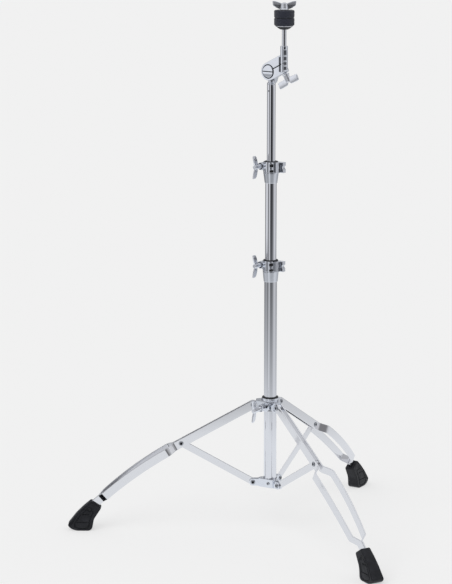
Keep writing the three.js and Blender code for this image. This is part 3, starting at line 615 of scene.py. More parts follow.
def thread(radius: float, pitch: float, low: float, high: float) -> Form:
    """Makes a threaded stretch along z.

    Args:
        radius: Over the crests.
        pitch: Between two crests.
        low: The lower end.
        high: The upper end.

    Returns:
        A closed rod whose surface is one helical ridge, which fades out at both ends.
    """
    rows_per_pitch = 6
    ridge = pitch * 0.5
    rows = []
    count = round((high - low) / pitch * rows_per_pitch)
    for j in range(count + 1):
        height = low + (high - low) * j / count
        fade = min(1.0, j / rows_per_pitch, (count - j) / rows_per_pitch)
        row = []
        for i in range(FEW):
            share = (height / pitch - i / FEW) % 1
            reach = radius - ridge * (abs(share - 0.5) * 2 * fade + (1 - fade))
            turn = 2 * pi * i / FEW
            row.append(Vector((reach * cos(turn), reach * sin(turn), height)))
        rows.append(row)
    return skin(rows)


def object_of(form: Form, name: str = "scratch") -> bpy.types.Object:
    """Puts a form in a new object of the scene.

    Args:
        form: The form, which stays as it is.
        name: Of the object and of its mesh.

    Returns:
        The object.
    """
    mesh = bpy.data.meshes.new(name)
    form.to_mesh(mesh)
    made = bpy.data.objects.new(name, mesh)
    bpy.context.scene.collection.objects.link(made)
    return made


def form_of(made: bpy.types.Object) -> Form:
    """Takes the form out of an object, and removes the object with its mesh.

    Args:
        made: The object.

    Returns:
        Its form, with its modifiers applied.
    """
    bpy.context.view_layer.update()
    shown = made.evaluated_get(bpy.context.evaluated_depsgraph_get())
    form = bmesh.new()
    form.from_mesh(shown.to_mesh())
    shown.to_mesh_clear()
    bpy.data.meshes.remove(made.data)
    return form


def combined(first: Form, others: Iterable[Form], how: Cut) -> Form:
    """Joins forms to, cuts them from, or keeps them of a first form.

    Args:
        first: The form that is changed.
        others: The forms that change it, one after the other.
        how: What they do to it.

    Returns:
        The changed form.
    """
    for other in others:
        target = object_of(first)
        tool = object_of(other)
        change = target.modifiers.new("change", "BOOLEAN")
        change.operation = how.value
        change.solver = "EXACT"
        change.object = tool
        first = form_of(target)
        bpy.data.meshes.remove(tool.data)
    return first


def carved(body: Form, joins: Iterable[Form], cutters: Iterable[Form]) -> Form:
    """Joins forms to a body and then cuts others from it."""
    return combined(combined(body, joins, Cut.JOIN), cutters, Cut.AWAY)


def cast(form: Form, grid: float = 0.5, rounds: int = 3) -> Form:
    """Softens a form as a casting or moulding is soft.

    Args:
        form: The form with sharp edges.
        grid: The size of the new faces.
        rounds: How often the surface is evened out.

    Returns:
        A form of even faces with every edge and inner corner rounded.
    """
    made = object_of(form)
    anew = made.modifiers.new("anew", "REMESH")
    anew.mode = "VOXEL"
    anew.voxel_size = grid
    even = made.modifiers.new("even", "SMOOTH")
    even.factor = 0.5
    even.iterations = rounds
    return form_of(made)


# Pieces


@dataclass(frozen=True)
class Linkage:
    """The fold of the tripod: where its pivots are, in the leg's own plane."""

    pivot_radius: float = 38.8
    reach: float = 186.3
    spread: float = 29.06

    @property
    def hub_height(self) -> float:
        """Height of the hub's pivots above the collar's."""
        return 2 * self.reach * sin(radians(self.spread))


class Place:
    """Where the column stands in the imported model."""

    def __init__(self) -> None:
        """Reads the column's axis and the collar pivots' height from the frame."""
        low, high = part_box("base_tube")
        pin_low, pin_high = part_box("left_collar_pin")
        level = (pin_low.z + pin_high.z) / 2
        self.origin = Vector(((low.x + high.x) / 2, (low.y + high.y) / 2, level))

    def at(self, angle: float = 0.0, height: float = 0.0) -> Matrix:
        """Places a frame that is turned about the column.

        Args:
            angle: The way that the frame's x axis points, round the column.
            height: Of its origin above the collar's pivots.

        Returns:
            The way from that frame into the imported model.
        """
        turn = Matrix.Rotation(radians(angle), 4, "Z")
        rise = Matrix.Translation((0, 0, height))
        return Matrix.Translation(self.origin) @ turn @ Matrix.Scale(MM, 4) @ rise

    def height_of(self, level: float) -> float:
        """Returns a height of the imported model's, in metres, as one over the collar's pivots."""
        return (level - self.origin.z) / MM


PLACE = Place()


def add_piece(
    name: str, form: Form, at: Matrix, finish: Finish, *nodes: str, crease: float = 38.0
) -> None:
    """Puts a finished piece in the scene, in place of the CAD nodes that it stands for.

    Args:
        name: The piece's name.
        form: Its mesh, in the frame that it was drawn in.
        at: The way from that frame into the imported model.
        finish: Its surface.
        *nodes: The CAD nodes that it replaces. It rides on the first one's body.
        crease: Edges that turn by more than this stay sharp.
    """
    if not form.faces:
        raise ValueError(f"{name} has no faces")
    form.transform(at)
    made = object_of(form, name)
    form.free()
    made.data.shade_smooth()
    made.data.set_sharp_from_angle(angle=radians(crease))
    made.data.materials.append(finish.material())
    flats = made.modifiers.new("flats", "WEIGHTED_NORMAL")
    flats.keep_sharp = True
    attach(made, frame["nodes"][nodes[0]]["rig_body"])
    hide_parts(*nodes)
    log.info("%s: %d faces, for %s", name, len(made.data.polygons), ", ".join(nodes))


def bent(share: float, bend_share: float) -> float:
    """Follows a bar that goes sideways in two bends with a straight run between.

    Args:
        share: Of the way along, from 0 to 1.
        bend_share: Of the way that each bend takes.

    Returns:
        How far it has gone sideways, from 0 to 1.
    """
    inside = min(max(share, 0.0), 1.0)
    steepest = 1 / (1 - bend_share)
    to_end = min(inside, 1 - inside)
    bending = to_end < bend_share
    gone = steepest * (to_end ** 2 / (2 * bend_share) if bending else to_end - bend_share / 2)
    return gone if inside < 0.5 else 1 - gone


def lipped(inner: float, outer: float, low: float, lip: Sequence[float]) -> Form:
    """Makes a bushing with a lip at its top.

    Args:
        inner: Radius of its bore.
        outer: Radius of its wall.
        low: Height of its lower end.
        lip: Radius of the lip, and the two heights between which it lies.

    Returns:
        The bushing, about the z axis.
    """
    radius, bottom, top = lip
    return turned([
        (inner, low), (outer, low), (outer, bottom), (radius, bottom), (radius, top), (inner, top),
    ], BUSHING_EDGE, MOST)


@dataclass(frozen=True)
class Pin:
    """A rivet across y with a low dome on each end, and a dimple in each dome."""

    radius: float
    head: float
    head_height: float
    grip: float
    dome_shares: Points = ((1, 0), (1, 0.35), (0.78, 0.85))
    dimple_share: float = 0.4
    dimple_shares: Points = ((1.4, 1), (1, 0.3), (0, 0.2))
    dimple_shade_share: float = 1.25
    dimple_shade_rise: float = 0.75
    dimple_shade_half: float = 0.4
    edge: float = 0.5

    def form(self) -> Form:
        """Makes the rivet, whose grip is half the length between its heads.

        Returns:
            Its form, centred on the origin.
        """
        dimple = self.head * self.dimple_share
        dome = [(self.head * r, z) for r, z in self.dome_shares]
        hollow = [(dimple * r, z) for r, z in self.dimple_shares]
        top = [(r, self.grip + self.head_height * z) for r, z in [*dome, *hollow]]
        bottom = [(r, -z) for r, z in reversed(top)]
        shank = [(self.radius, -self.grip), (self.radius, self.grip)]
        profile = rounded([*bottom, *shank, *top], self.edge, closed=False)
        return upright(revolve(profile, PIN_SIDES))

    def ends(self) -> Form:
        """Makes the painted shade in the dimples of the two heads: a dark disc in each.

        Returns:
            Both discs, in one form.
        """
        reach = self.head * self.dimple_share * self.dimple_shade_share
        out = self.grip + self.head_height * self.dimple_shade_rise
        return gathered([
            moved(cross_rod(reach, self.dimple_shade_half, 0, 0), 0, side * out) for side in (-1, 1)
        ])


@dataclass
class Leg:
    """One leg of the tripod: two straps, a brace, a foot and four pins.

    It is drawn with x out from the column and z = 0 at the collar's pivots.
    """

    name: str
    angle: float
    linkage: Linkage = Linkage()
    strap_height: float = 19.0
    strap_thickness: float = 3.0
    strap_edge: float = 0.9
    strap_edge_share: float = 0.45
    strap_step: float = 5.0
    bend_step: float = 0.8
    bend_margin: float = 3.0
    pair_offset: float = 5.0
    jog_start: float = 200.0
    jog_length: float = 24.0
    jog_bend_share: float = 0.35
    jog_offset: float = 23.0
    bow_end: float = 397.0
    bow_end_offset: float = 16.5
    pinch_length: float = 17.0
    pinch_bend_share: float = 0.2
    strap_length: float = 462.0
    foot_slope: float = 42.0
    brace_width: float = 16.0
    brace_thickness: float = 3.0
    brace_edge: float = 0.8
    washer_radius: float = 7.0
    washer_edge: float = 0.4
    pin_radius: float = 3.0
    pin_head: float = 5.5
    pin_head_height: float = 1.8
    ear_thickness: float = 3.0
    foot_length: float = 54.5
    foot_height: float = 70.0
    foot_width: float = 29.0
    foot_edge: float = 2.0
    foot_taper: float = 0.27
    foot_corner: float = 4.0
    foot_seam_corner: float = 0.5
    foot_pocket: float = 2.0
    foot_rim: float = 2.4
    foot_groove: float = 2.0
    foot_groove_depth: float = 2.0
    foot_groove_shares: tuple[float, ...] = (0.24, 0.5)
    foot_groove_span: Point = (0.22, 0.72)
    foot_grid: float = 0.6
    rivet_radius: float = 2.6
    rivet_head: float = 4.6
    rivet_back: float = 14.0
    foot_outline: Points = (
        (0.1, 0), (0.62, 0), (0.83, 0.05), (0.96, 0.125), (1, 0.2), (0.66, 0.54), (0.35, 0.785),
        (0.02, 1), (-0.42, 0.77), (-0.11, 0.4), (-0.055, 0.24), (-0.025, 0.07),
    )
    foot_seam: Points = (
        (0.0, 0.975), (0.326, 0.767), (0.636, 0.522), (0.95, 0.19),
        (0.9, 0.16), (0.596, 0.49), (0.286, 0.735), (-0.04, 0.945),
    )
    foot_panel: Points = (
        (0.16, 0.07), (0.5, 0.06), (0.74, 0.13), (0.72, 0.26), (0.5, 0.52), (0.2, 0.74),
        (-0.12, 0.66), (0.05, 0.38), (0.08, 0.2),
    )
    foot_entry: Point = (0.275, 0.586)

    def point(self, along: float) -> Triple:
        """Follows the leg's side view, straight and then curved to the slope at the foot.

        Args:
            along: Distance from the hub's pivot.

        Returns:
            Distance from the column, height over the collar's pivots, and slope in radians.
        """
        start = radians(self.linkage.spread)
        bend = (self.bow_end - self.jog_start) / (radians(self.foot_slope) - start)
        straight = min(along, self.jog_start)
        curved = min(max(along - self.jog_start, 0), self.bow_end - self.jog_start)
        last = max(along - self.bow_end, 0)
        slope = start + curved / bend
        out = self.linkage.pivot_radius + straight * cos(start)
        out += bend * (sin(slope) - sin(start)) + last * cos(slope)
        height = self.linkage.hub_height - straight * sin(start)
        height += bend * (cos(slope) - cos(start)) - last * sin(slope)
        return out, height, slope

    def offset(self, along: float) -> float:
        """Follows one strap, seen from above, as it jogs, bows and pinches.

        Args:
            along: Distance from the hub's pivot.

        Returns:
            How far the strap's middle is from the leg's middle plane.
        """
        jog_end = self.jog_start + self.jog_length
        jogged = bent((along - self.jog_start) / self.jog_length, self.jog_bend_share)
        bow = min(max((along - jog_end) / (self.bow_end - jog_end), 0), 1)
        pinched = bent((along - self.bow_end) / self.pinch_length, self.pinch_bend_share)
        together = (self.strap_thickness + GAP) / 2
        return (
            self.pair_offset + (self.jog_offset - self.pair_offset) * jogged
            + (self.bow_end_offset - self.jog_offset) * bow * bow
            + (together - self.bow_end_offset) * pinched
        )

    def stations(self) -> list[float]:
        """Lists where a strap gets its rows of points, closer together in its bends.

        Returns:
            Distances from the hub's pivot, from the round end's tip to the foot.
        """
        half_height = self.strap_height / 2
        turns = range(6, 90, 7)  # round the end, from near its tip
        ends = [-half_height * cos(radians(turn)) for turn in turns]
        bends = ((self.jog_start, self.jog_length), (self.bow_end, self.pinch_length))
        steps = [0.0]
        while steps[-1] < self.strap_length:
            past = steps[-1]
            bending = any(
                start - self.bend_margin < past < start + length + self.bend_margin
                for start, length in bends
            )
            step = self.bend_step if bending else self.strap_step
            steps.append(min(past + step, self.strap_length))
        return [*ends, *steps]

    def strap(self, side: int) -> Form:
        """Makes one strap: a flat bar on edge with a round end at the hub.

        Args:
            side: 1 or -1, for the strap on either side of the leg.

        Returns:
            The strap.
        """
        probe = 0.2
        half_thickness = self.strap_thickness / 2
        rows = []
        for along in self.stations():
            out, height, slope = self.point(along)
            forward = Vector((cos(slope), 0, -sin(slope)))
            rise = Vector((sin(slope), 0, cos(slope)))
            drift = self.offset(along + probe) - self.offset(along - probe)
            across = (Y_AXIS - forward * (side * drift / (2 * probe))).normalized()
            middle = Vector((out, side * self.offset(along), height))
            half = sqrt((self.strap_height / 2) ** 2 - min(along, 0) ** 2)
            edge = min(self.strap_edge, half * self.strap_edge_share)
            corners = rounded(band(-half_thickness, half_thickness, -half, half), edge, steps=3)
            rows.append([middle + across * x + rise * z for x, z in corners])
        return skin(rows)

    def brace(self) -> Form:
        """Makes the brace: a flat bar with round ends and a washer each side at the leg.

        Returns:
            The brace.
        """
        reach = self.linkage.reach
        half = self.brace_width / 2
        outline = [*arc((reach, 0), half, -90, 90, HALF_ROUND),
                   *arc((0, 0), half, 90, 270, HALF_ROUND)]
        half_thickness = self.brace_thickness / 2
        bar = upright(slab(outline, -half_thickness, half_thickness, self.brace_edge))
        washer_half = self.pair_offset - self.strap_thickness / 2 - GAP
        profile = band(0, self.washer_radius, -washer_half, washer_half)
        washer = moved(upright(turned(profile, self.washer_edge, PIN_SIDES)), reach)
        sloped = spun(gathered([bar, washer]), -self.linkage.spread, Axis.Y)
        return moved(sloped, self.linkage.pivot_radius)

    def foot_shape(self, shares: Sequence[Point], corner: float) -> list[Point]:
        """Draws one of the foot's outlines.

        Args:
            shares: Its corners, as shares of the foot's length and height from the heel.
            corner: How far the corners are rounded.

        Returns:
            The outline.
        """
        out, height, _ = self.point(self.strap_length)
        heel = out - self.foot_entry[0] * self.foot_length
        sole = height - self.foot_entry[1] * self.foot_height
        corners = [(heel + x * self.foot_length, sole + z * self.foot_height) for x, z in shares]
        return rounded(corners, corner)

    def foot_cutters(self) -> list[Form]:
        """Makes what cuts the panels, the seams and the grooves into the foot's sides.

        Returns:
            The cutters.
        """
        half = self.foot_width / 2
        panel = self.foot_shape(self.foot_panel, self.foot_corner)
        island = slab(inset(panel, self.foot_rim), -half, half)
        ring = combined(slab(panel, -half, half), [island], Cut.AWAY)
        seam = slab(self.foot_shape(self.foot_seam, self.foot_seam_corner), -half, half)
        low = min(z for _, z in panel)
        heel = min(x for x, _ in panel)
        start, end = (heel + self.foot_length * share for share in self.foot_groove_span)
        cutters = []
        for side in (-1, 1):
            for mark in (ring, seam):
                sunk = side * (2 * half - self.foot_pocket)
                cutters.append(moved(upright(mark.copy()), 0, sunk))
            for share in self.foot_groove_shares:
                top = low + share * self.foot_height
                groove = block((start, -half, top - self.foot_groove), (end, half, top))
                cutters.append(moved(groove, 0, side * (2 * half - self.foot_groove_depth)))
        return cutters

    def foot_sockets(self) -> list[Form]:
        """Makes what cuts the socket for the straps and the sinks for the rivet's heads.

        Returns:
            The cutters.
        """
        half_width = self.strap_thickness + GAP / 2 + GAP
        half_height = self.strap_height / 2 + GAP
        out, height, _ = self.point(self.strap_length)
        slot = spun(block(
            (self.bow_end - self.strap_length, -half_width, -half_height),
            (GAP, half_width, half_height),
        ), self.foot_slope, Axis.Y)
        sockets = [moved(slot, out, 0, height)]
        out, height, _ = self.point(self.strap_length - self.rivet_back)
        for side in (-1, 1):
            sink = cross_rod(self.rivet_head + GAP, OVERRUN, out, height)
            sockets.append(moved(sink, 0, side * (self.rivet_half() + self.pin_head_height)))
        return sockets

    def foot(self) -> Form:
        """Makes the moulded foot, narrower towards its top.

        Returns:
            The foot.
        """
        half = self.foot_width / 2
        outline = self.foot_shape(self.foot_outline, self.foot_corner)
        body = upright(slab(outline, -half, half, self.foot_edge))
        marked = combined(body, self.foot_cutters(), Cut.AWAY)
        sole = min(vertex.co.z for vertex in marked.verts)
        for vertex in marked.verts:
            share = min((vertex.co.z - sole) / self.foot_height, 1)
            vertex.co.y *= 1 - self.foot_taper * share
        return cast(combined(marked, self.foot_sockets(), Cut.AWAY), self.foot_grid)

    def rivet_half(self) -> float:
        """Returns half the length between the heads of the foot's rivet, which lie flush."""
        rise = self.rivet_back * sin(radians(self.foot_slope)) / self.foot_height
        narrow = 1 - self.foot_taper * (self.foot_entry[1] + rise)
        return self.foot_width / 2 * narrow - self.pin_head_height

    def build(self) -> None:
        """Makes the leg's pieces and puts them in place."""
        at = PLACE.at(self.angle)
        for letter, side in (("a", 1), ("b", -1)):
            node = f"{self.name}_leg_strap_{letter}"
            add_piece(f"{node}_bar", self.strap(side), at, STRAP_CHROME, node)
        add_piece(f"{self.name}_brace_bar", self.brace(), at, STRAP_CHROME, f"{self.name}_brace")
        node = f"{self.name}_foot"
        add_piece(f"{node}_moulding", self.foot(), at, BLACK_RUBBER, node, crease=60)
        self.build_pins(at)

    def build_pins(self, at: Matrix) -> None:
        """Makes the three pivot pins and the foot's rivet.

        Args:
            at: The way from the leg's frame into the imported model.
        """
        grip = self.pair_offset + self.strap_thickness / 2 + GAP
        collar_grip = self.brace_thickness / 2 + self.ear_thickness + 2 * GAP
        middle = self.point(self.linkage.reach)
        pivots = {
            "hub_pin": (self.linkage.pivot_radius, self.linkage.hub_height, grip),
            "middle_pin": (middle[0], middle[1], grip),
            "collar_pin": (self.linkage.pivot_radius, 0.0, collar_grip),
        }
        for label, (out, height, half) in pivots.items():
            node = f"{self.name}_{label}"
            pin = Pin(self.pin_radius, self.pin_head, self.pin_head_height, half)
            add_piece(f"{node}_rivet", moved(pin.form(), out, 0, height), at, ZINC_PLATE, node)
            # Painted shade: a dark disc in the dimple of each head.
            ends = moved(pin.ends(), out, 0, height)
            add_piece(f"{node}_dimple_shades", ends, at, PAINTED_SHADE_STEEL, node)
        out, height, _ = self.point(self.strap_length - self.rivet_back)
        rivet = Pin(self.rivet_radius, self.rivet_head, self.pin_head_height, self.rivet_half())
        node = f"{self.name}_foot_rivet"
        add_piece(f"{node}_pin", moved(rivet.form(), out, 0, height), at, BLACKED_STEEL, node)


@dataclass
class Tube:
    """One tube of the column, with a rolled edge at each end."""

    node: str
    radius: float
    wall: float = 1.2
    edge: float = 0.5

    def build(self) -> None:
        """Makes the tube between the ends that its CAD node has."""
        low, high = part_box(self.node)
        ends = (PLACE.height_of(low.z), PLACE.height_of(high.z))
        form = turned(band(self.radius - self.wall, self.radius, *ends), self.edge, MOST)
        add_piece(f"{self.node}_drawn", form, PLACE.at(), TUBE_CHROME, self.node)


@dataclass
class WingBolt:
    """A wing bolt: a threaded shank, a flange, a tapered hub and two wings."""

    shank: float
    radius: float = BOLT_RADIUS
    pitch: float = 1.25
    thread_overlap: float = 0.6
    flange: float = 7.6
    flange_height: float = 3.0
    hub: float = 6.6
    hub_tip: float = 5.0
    hub_height: float = 22.0
    hub_edge: float = 1.0
    rise: float = 9.0
    span: float = 52.0
    height: float = 19.0
    thickness: float = 3.8
    wing_edge: float = 1.2
    crown_share: float = 0.55
    root_share: float = 0.9
    wing_curves: tuple[Curve, ...] = (
        (0.5, 0.05, 0.8, 0.29), (0.95, 0.4, 0.97, 0.55), (1, 0.8, 1, 0.9), (1, 1, 0.9, 1),
        (0.5, 0.92, 0.18, 0.68),
    )
    blend_rounds: int = 5

    def wing(self) -> Form:
        """Makes one wing, thickest halfway up.

        Returns:
            The wing, drawn on x and z with its root at z = 0.
        """
        steps = 8
        outline = [Vector((0, 0)), Vector((self.hub_tip * self.root_share, 0))]
        for corner_x, corner_z, end_x, end_z in self.wing_curves:
            start = outline[-1]
            corner = Vector((corner_x * self.span / 2, corner_z * self.height))
            end = Vector((end_x * self.span / 2, end_z * self.height))
            outline += [on_curve(start, corner, end, k / steps) for k in range(1, steps + 1)]
        outline.append(Vector((0, self.height / 2)))
        half = self.thickness / 2
        plate = upright(slab([tuple(p) for p in outline], -half, half, self.wing_edge))
        soft = cast(plate, rounds=2)
        for vertex in soft.verts:
            share = abs(vertex.co.z / self.height * 2 - 1)
            vertex.co.y *= 1 - self.crown_share * min(share, 1) ** 2
        return soft

    def head(self) -> Form:
        """Makes the head, with its wings run smoothly into its hub.

        Returns:
            The head, standing on z = 0.
        """
        body = turned([
            (0, 0), (self.flange, 0), (self.flange, self.flange_height),
            (self.hub, self.flange_height + 1), (self.hub_tip, self.hub_height),
            (0, self.hub_height),
        ], self.hub_edge, SOME)
        wings = [moved(self.wing(), z=self.rise), moved(spun(self.wing(), 180), z=self.rise)]
        return cast(gathered([body, *wings]), rounds=self.blend_rounds)

    def form(self) -> Form:
        """Makes the whole bolt along z, its seat at z = 0 and its shank below."""
        shank = thread(self.radius, self.pitch, -self.shank, self.thread_overlap)
        return gathered([self.head(), shank])


@dataclass
class Collar:
    """The fixed collar at the foot of the base tube, with its three screws."""

    linkage: Linkage = Linkage()
    height: float = 20.0
    body_radius: float = 26.0
    root_angle: float = 11.0
    grid: float = 0.55
    ear_thickness: float = 3.0
    ear_end: float = 8.5
    tube_radius: float = BASE_TUBE
    brace_thickness: float = 3.0
    screw_radius: float = 2.2
    screw_head: float = 3.6
    screw_head_height: float = 1.6
    screw_bevel: Point = (0.8, 0.5)
    screw_edge: float = 0.3
    screw_side: float = 5.0
    socket_share: float = 0.8
    socket_depth: float = 1.1
    socket_start: float = 0.2
    socket_sink: float = 0.3
    dark_share: float = 0.95
    seam: float = 1.6
    seam_reach: float = 21.5

    def build(self) -> None:
        """Makes the collar and its screws."""
        casting = cast(self.casting(), self.grid)
        add_piece("lower_collar_casting", casting, PLACE.at(), CAST_CHROME, "lower_collar")
        face = self.body_radius * cos(radians(HALF_SPACING - self.root_angle)) + GAP
        for name, angle in LEG_ANGLES.items():
            node = f"collar_screw_{name}"
            at = PLACE.at(angle + HALF_SPACING)
            add_piece(f"{node}_head", self.screw(face), at, ZINC_PLATE, node)
            # Painted shade: a dark hexagon fill in each screw's socket, where shade falls.
            ends = (face + self.socket_start, face + self.screw_head_height - self.socket_sink)
            socket = rod(self.screw_radius * self.dark_share, *ends, HEXAGON)
            dark = moved(along_x(socket), 0, self.screw_side)
            add_piece(f"{node}_socket", dark, at, PAINTED_SHADE_STEEL, node)

    def casting(self) -> Form:
        """Makes the collar with a pair of ears for each brace, and a seam beside each pair.

        Returns:
            The collar, its edges still sharp.
        """
        half = self.height / 2
        inside = self.brace_thickness / 2 + GAP
        outside = inside + self.ear_thickness
        low, high = -half - OVERRUN, half + OVERRUN
        outline = tongue(self.tube_radius, self.linkage.pivot_radius, self.ear_end)
        ears = []
        cutters = [rod(self.tube_radius + GAP, low, high, MOST)]
        for angle in LEG_ANGLES.values():
            for near, far in ((inside, outside), (-outside, -inside)):
                ears.append(spun(upright(slab(outline, near, far)), angle))
            for side in (-1, 1):
                seam = block((self.seam_reach, -self.seam / 2, low), (BEYOND, self.seam / 2, high))
                cutters.append(spun(moved(seam, 0, side * (outside + self.seam / 2)), angle))
        body = slab(faceted(self.body_radius, self.root_angle), -half, half)
        return carved(body, ears, cutters)

    def screw(self, face: float) -> Form:
        """Makes one screw with a hexagon socket in its head.

        Args:
            face: How far from the column's axis its head is seated.

        Returns:
            The screw, along x.
        """
        inner = self.tube_radius + GAP
        head = face + self.screw_head_height
        body = turned([
            (0, inner), (self.screw_radius, inner), (self.screw_radius, face),
            (self.screw_head, face), (self.screw_head, head - self.screw_bevel[1]),
            (self.screw_head - self.screw_bevel[0], head), (0, head),
        ], self.screw_edge, PIN_SIDES)
        radius = self.screw_radius * self.socket_share
        socket = rod(radius, head - self.socket_depth, head + OVERRUN, HEXAGON)
        return moved(along_x(combined(body, [socket], Cut.AWAY)), 0, self.screw_side)


@dataclass
class Hub:
    """The hub that slides on the base tube, with its bushing and its set bolt.

    It is drawn round the column, with z = 0 at its pivots.
    """

    linkage: Linkage = Linkage()
    set_bolt_angle: float = 240.0
    height: float = 24.0
    body_radius: float = 33.0
    root_angle: float = 13.0
    grid: float = 0.6
    neck_radius: float = 19.2
    neck_height: float = 5.0
    lug_end: float = 8.5
    lug_half: float = 3.2
    boss_radius: float = 8.0
    boss_reach: float = 45.5
    boss_groove: Point = (5.6, 7.0)
    boss_groove_depth: float = 2.0
    groove_fill: float = 1.0
    groove_play: float = 0.1
    groove_edge: float = 0.2
    slot_width: float = 4.5
    slot_height: float = 11.0
    slot_start_share: float = 0.7
    scallop_radius: float = 9.0
    scallop_turn: float = 30.0
    bushing_inner: float = 14.5
    bushing_wall: float = 2.4
    bushing_lip: float = 1.8
    strap_end: float = 9.8
    strap_outside: float = 8.9
    bolt_radius: float = BOLT_RADIUS
    bolt_standoff: float = 9.0
    tube_radius: float = BASE_TUBE

    def toward_bolt(self, form: Form) -> Form:
        """Turns what stands along z to lie along the set bolt."""
        return spun(along_x(form), self.set_bolt_angle)

    def build(self) -> None:
        """Makes the hub's pieces."""
        height = self.linkage.hub_height
        at = PLACE.at(0, height)
        add_piece("leg_hub_casting", cast(self.casting(), self.grid), at, CAST_CHROME, "leg_hub")
        add_piece("hub_bushing_moulding", self.bushing(), at, BLACK_NYLON_AND_DARK_LAYER, "hub_bushing")
        # Painted shade: a dark ring in the bottom of the boss's groove, where shade falls.
        inner, outer = self.boss_groove
        depth = self.boss_reach - self.boss_groove_depth
        ring = turned(band(
            inner + self.groove_play, outer - self.groove_play, depth, depth + self.groove_fill,
        ), self.groove_edge)
        add_piece("hub_boss_groove", self.toward_bolt(ring), at, PAINTED_SHADE_FILL, "leg_hub")
        seat = self.boss_reach + self.bolt_standoff
        shank = seat - self.tube_radius - GAP
        bolt = WingBolt(shank, flange=5.6, flange_height=1.5, hub=5.4, hub_tip=4.6).form()
        at = PLACE.at(self.set_bolt_angle, height)
        bolt = moved(along_x(bolt), seat)
        add_piece("hub_wing_bolt_casting", bolt, at, WING_CHROME, "hub_wing_bolt")

    def leg_cutters(self, bore: float) -> list[Form]:
        """Makes what cuts the room for each leg, and the scallops and a slot beside it.

        Args:
            bore: Radius of the hub's bore.

        Returns:
            The cutters of the three legs, one leg after the other.
        """
        pivot = self.linkage.pivot_radius
        way = [(pivot - self.strap_end, -self.height), (pivot + self.strap_end, -self.height),
               *arc((pivot, 0), self.strap_end, 0, 180, HALF_ROUND)]
        cutters = []
        for angle in LEG_ANGLES.values():
            for low, high in (
                (self.lug_half, self.strap_outside), (-self.strap_outside, -self.lug_half),
            ):
                cutters.append(spun(upright(slab(way, low, high)), angle))
            for turn in (-self.scallop_turn, self.scallop_turn):
                ends = (bore - OVERRUN, self.body_radius + OVERRUN)
                scallop = along_x(rod(self.scallop_radius, *ends, SOME))
                sunk = moved(scallop, z=-self.height / 2 - self.scallop_radius / 2)
                cutters.append(spun(sunk, angle + turn))
            slot = block(
                (bore * self.slot_start_share, -self.slot_width / 2, -self.slot_height / 2),
                (self.body_radius, self.slot_width / 2, self.slot_height / 2),
            )
            beside = moved(slot, 0, self.boss_radius + self.slot_width)
            cutters.append(spun(beside, angle + HALF_SPACING))
        return cutters

    def casting(self) -> Form:
        """Makes the hub with its lugs, boss, slots and scallops.

        Returns:
            The hub, its edges still sharp.
        """
        half = self.height / 2
        bore = self.bushing_inner + self.bushing_wall + GAP
        top = half + self.neck_height
        outline = tongue(bore, self.linkage.pivot_radius, self.lug_end)
        joins = [rod(self.neck_radius, -half, top, MOST)]
        for angle in LEG_ANGLES.values():
            joins.append(spun(upright(slab(outline, -self.lug_half, self.lug_half)), angle))
        joins.append(self.toward_bolt(rod(self.boss_radius, bore, self.boss_reach, SOME)))
        inner, outer = self.boss_groove
        bottom = self.boss_reach - self.boss_groove_depth
        groove = combined(
            rod(outer, bottom, self.boss_reach + OVERRUN, SOME),
            [rod(inner, 0, self.boss_reach + 2 * OVERRUN, SOME)], Cut.AWAY,
        )
        hole = rod(self.bolt_radius + GAP, 0, self.boss_reach + OVERRUN, FEW)
        cutters = [
            rod(bore, -half - OVERRUN, top + OVERRUN, MOST), *self.leg_cutters(bore),
            self.toward_bolt(hole), self.toward_bolt(groove),
        ]
        body = slab(faceted(self.body_radius, self.root_angle), -half, half)
        return carved(body, joins, cutters)

    def bushing(self) -> Form:
        """Makes the bushing, whose lip shows as the hub's black rim.

        Returns:
            The bushing.
        """
        half = self.height / 2
        lip = half + self.neck_height + GAP
        outer = self.bushing_inner + self.bushing_wall
        radius = self.neck_radius - self.bushing_lip / 2
        return lipped(self.bushing_inner, outer, -half, (radius, lip, lip + self.bushing_lip))


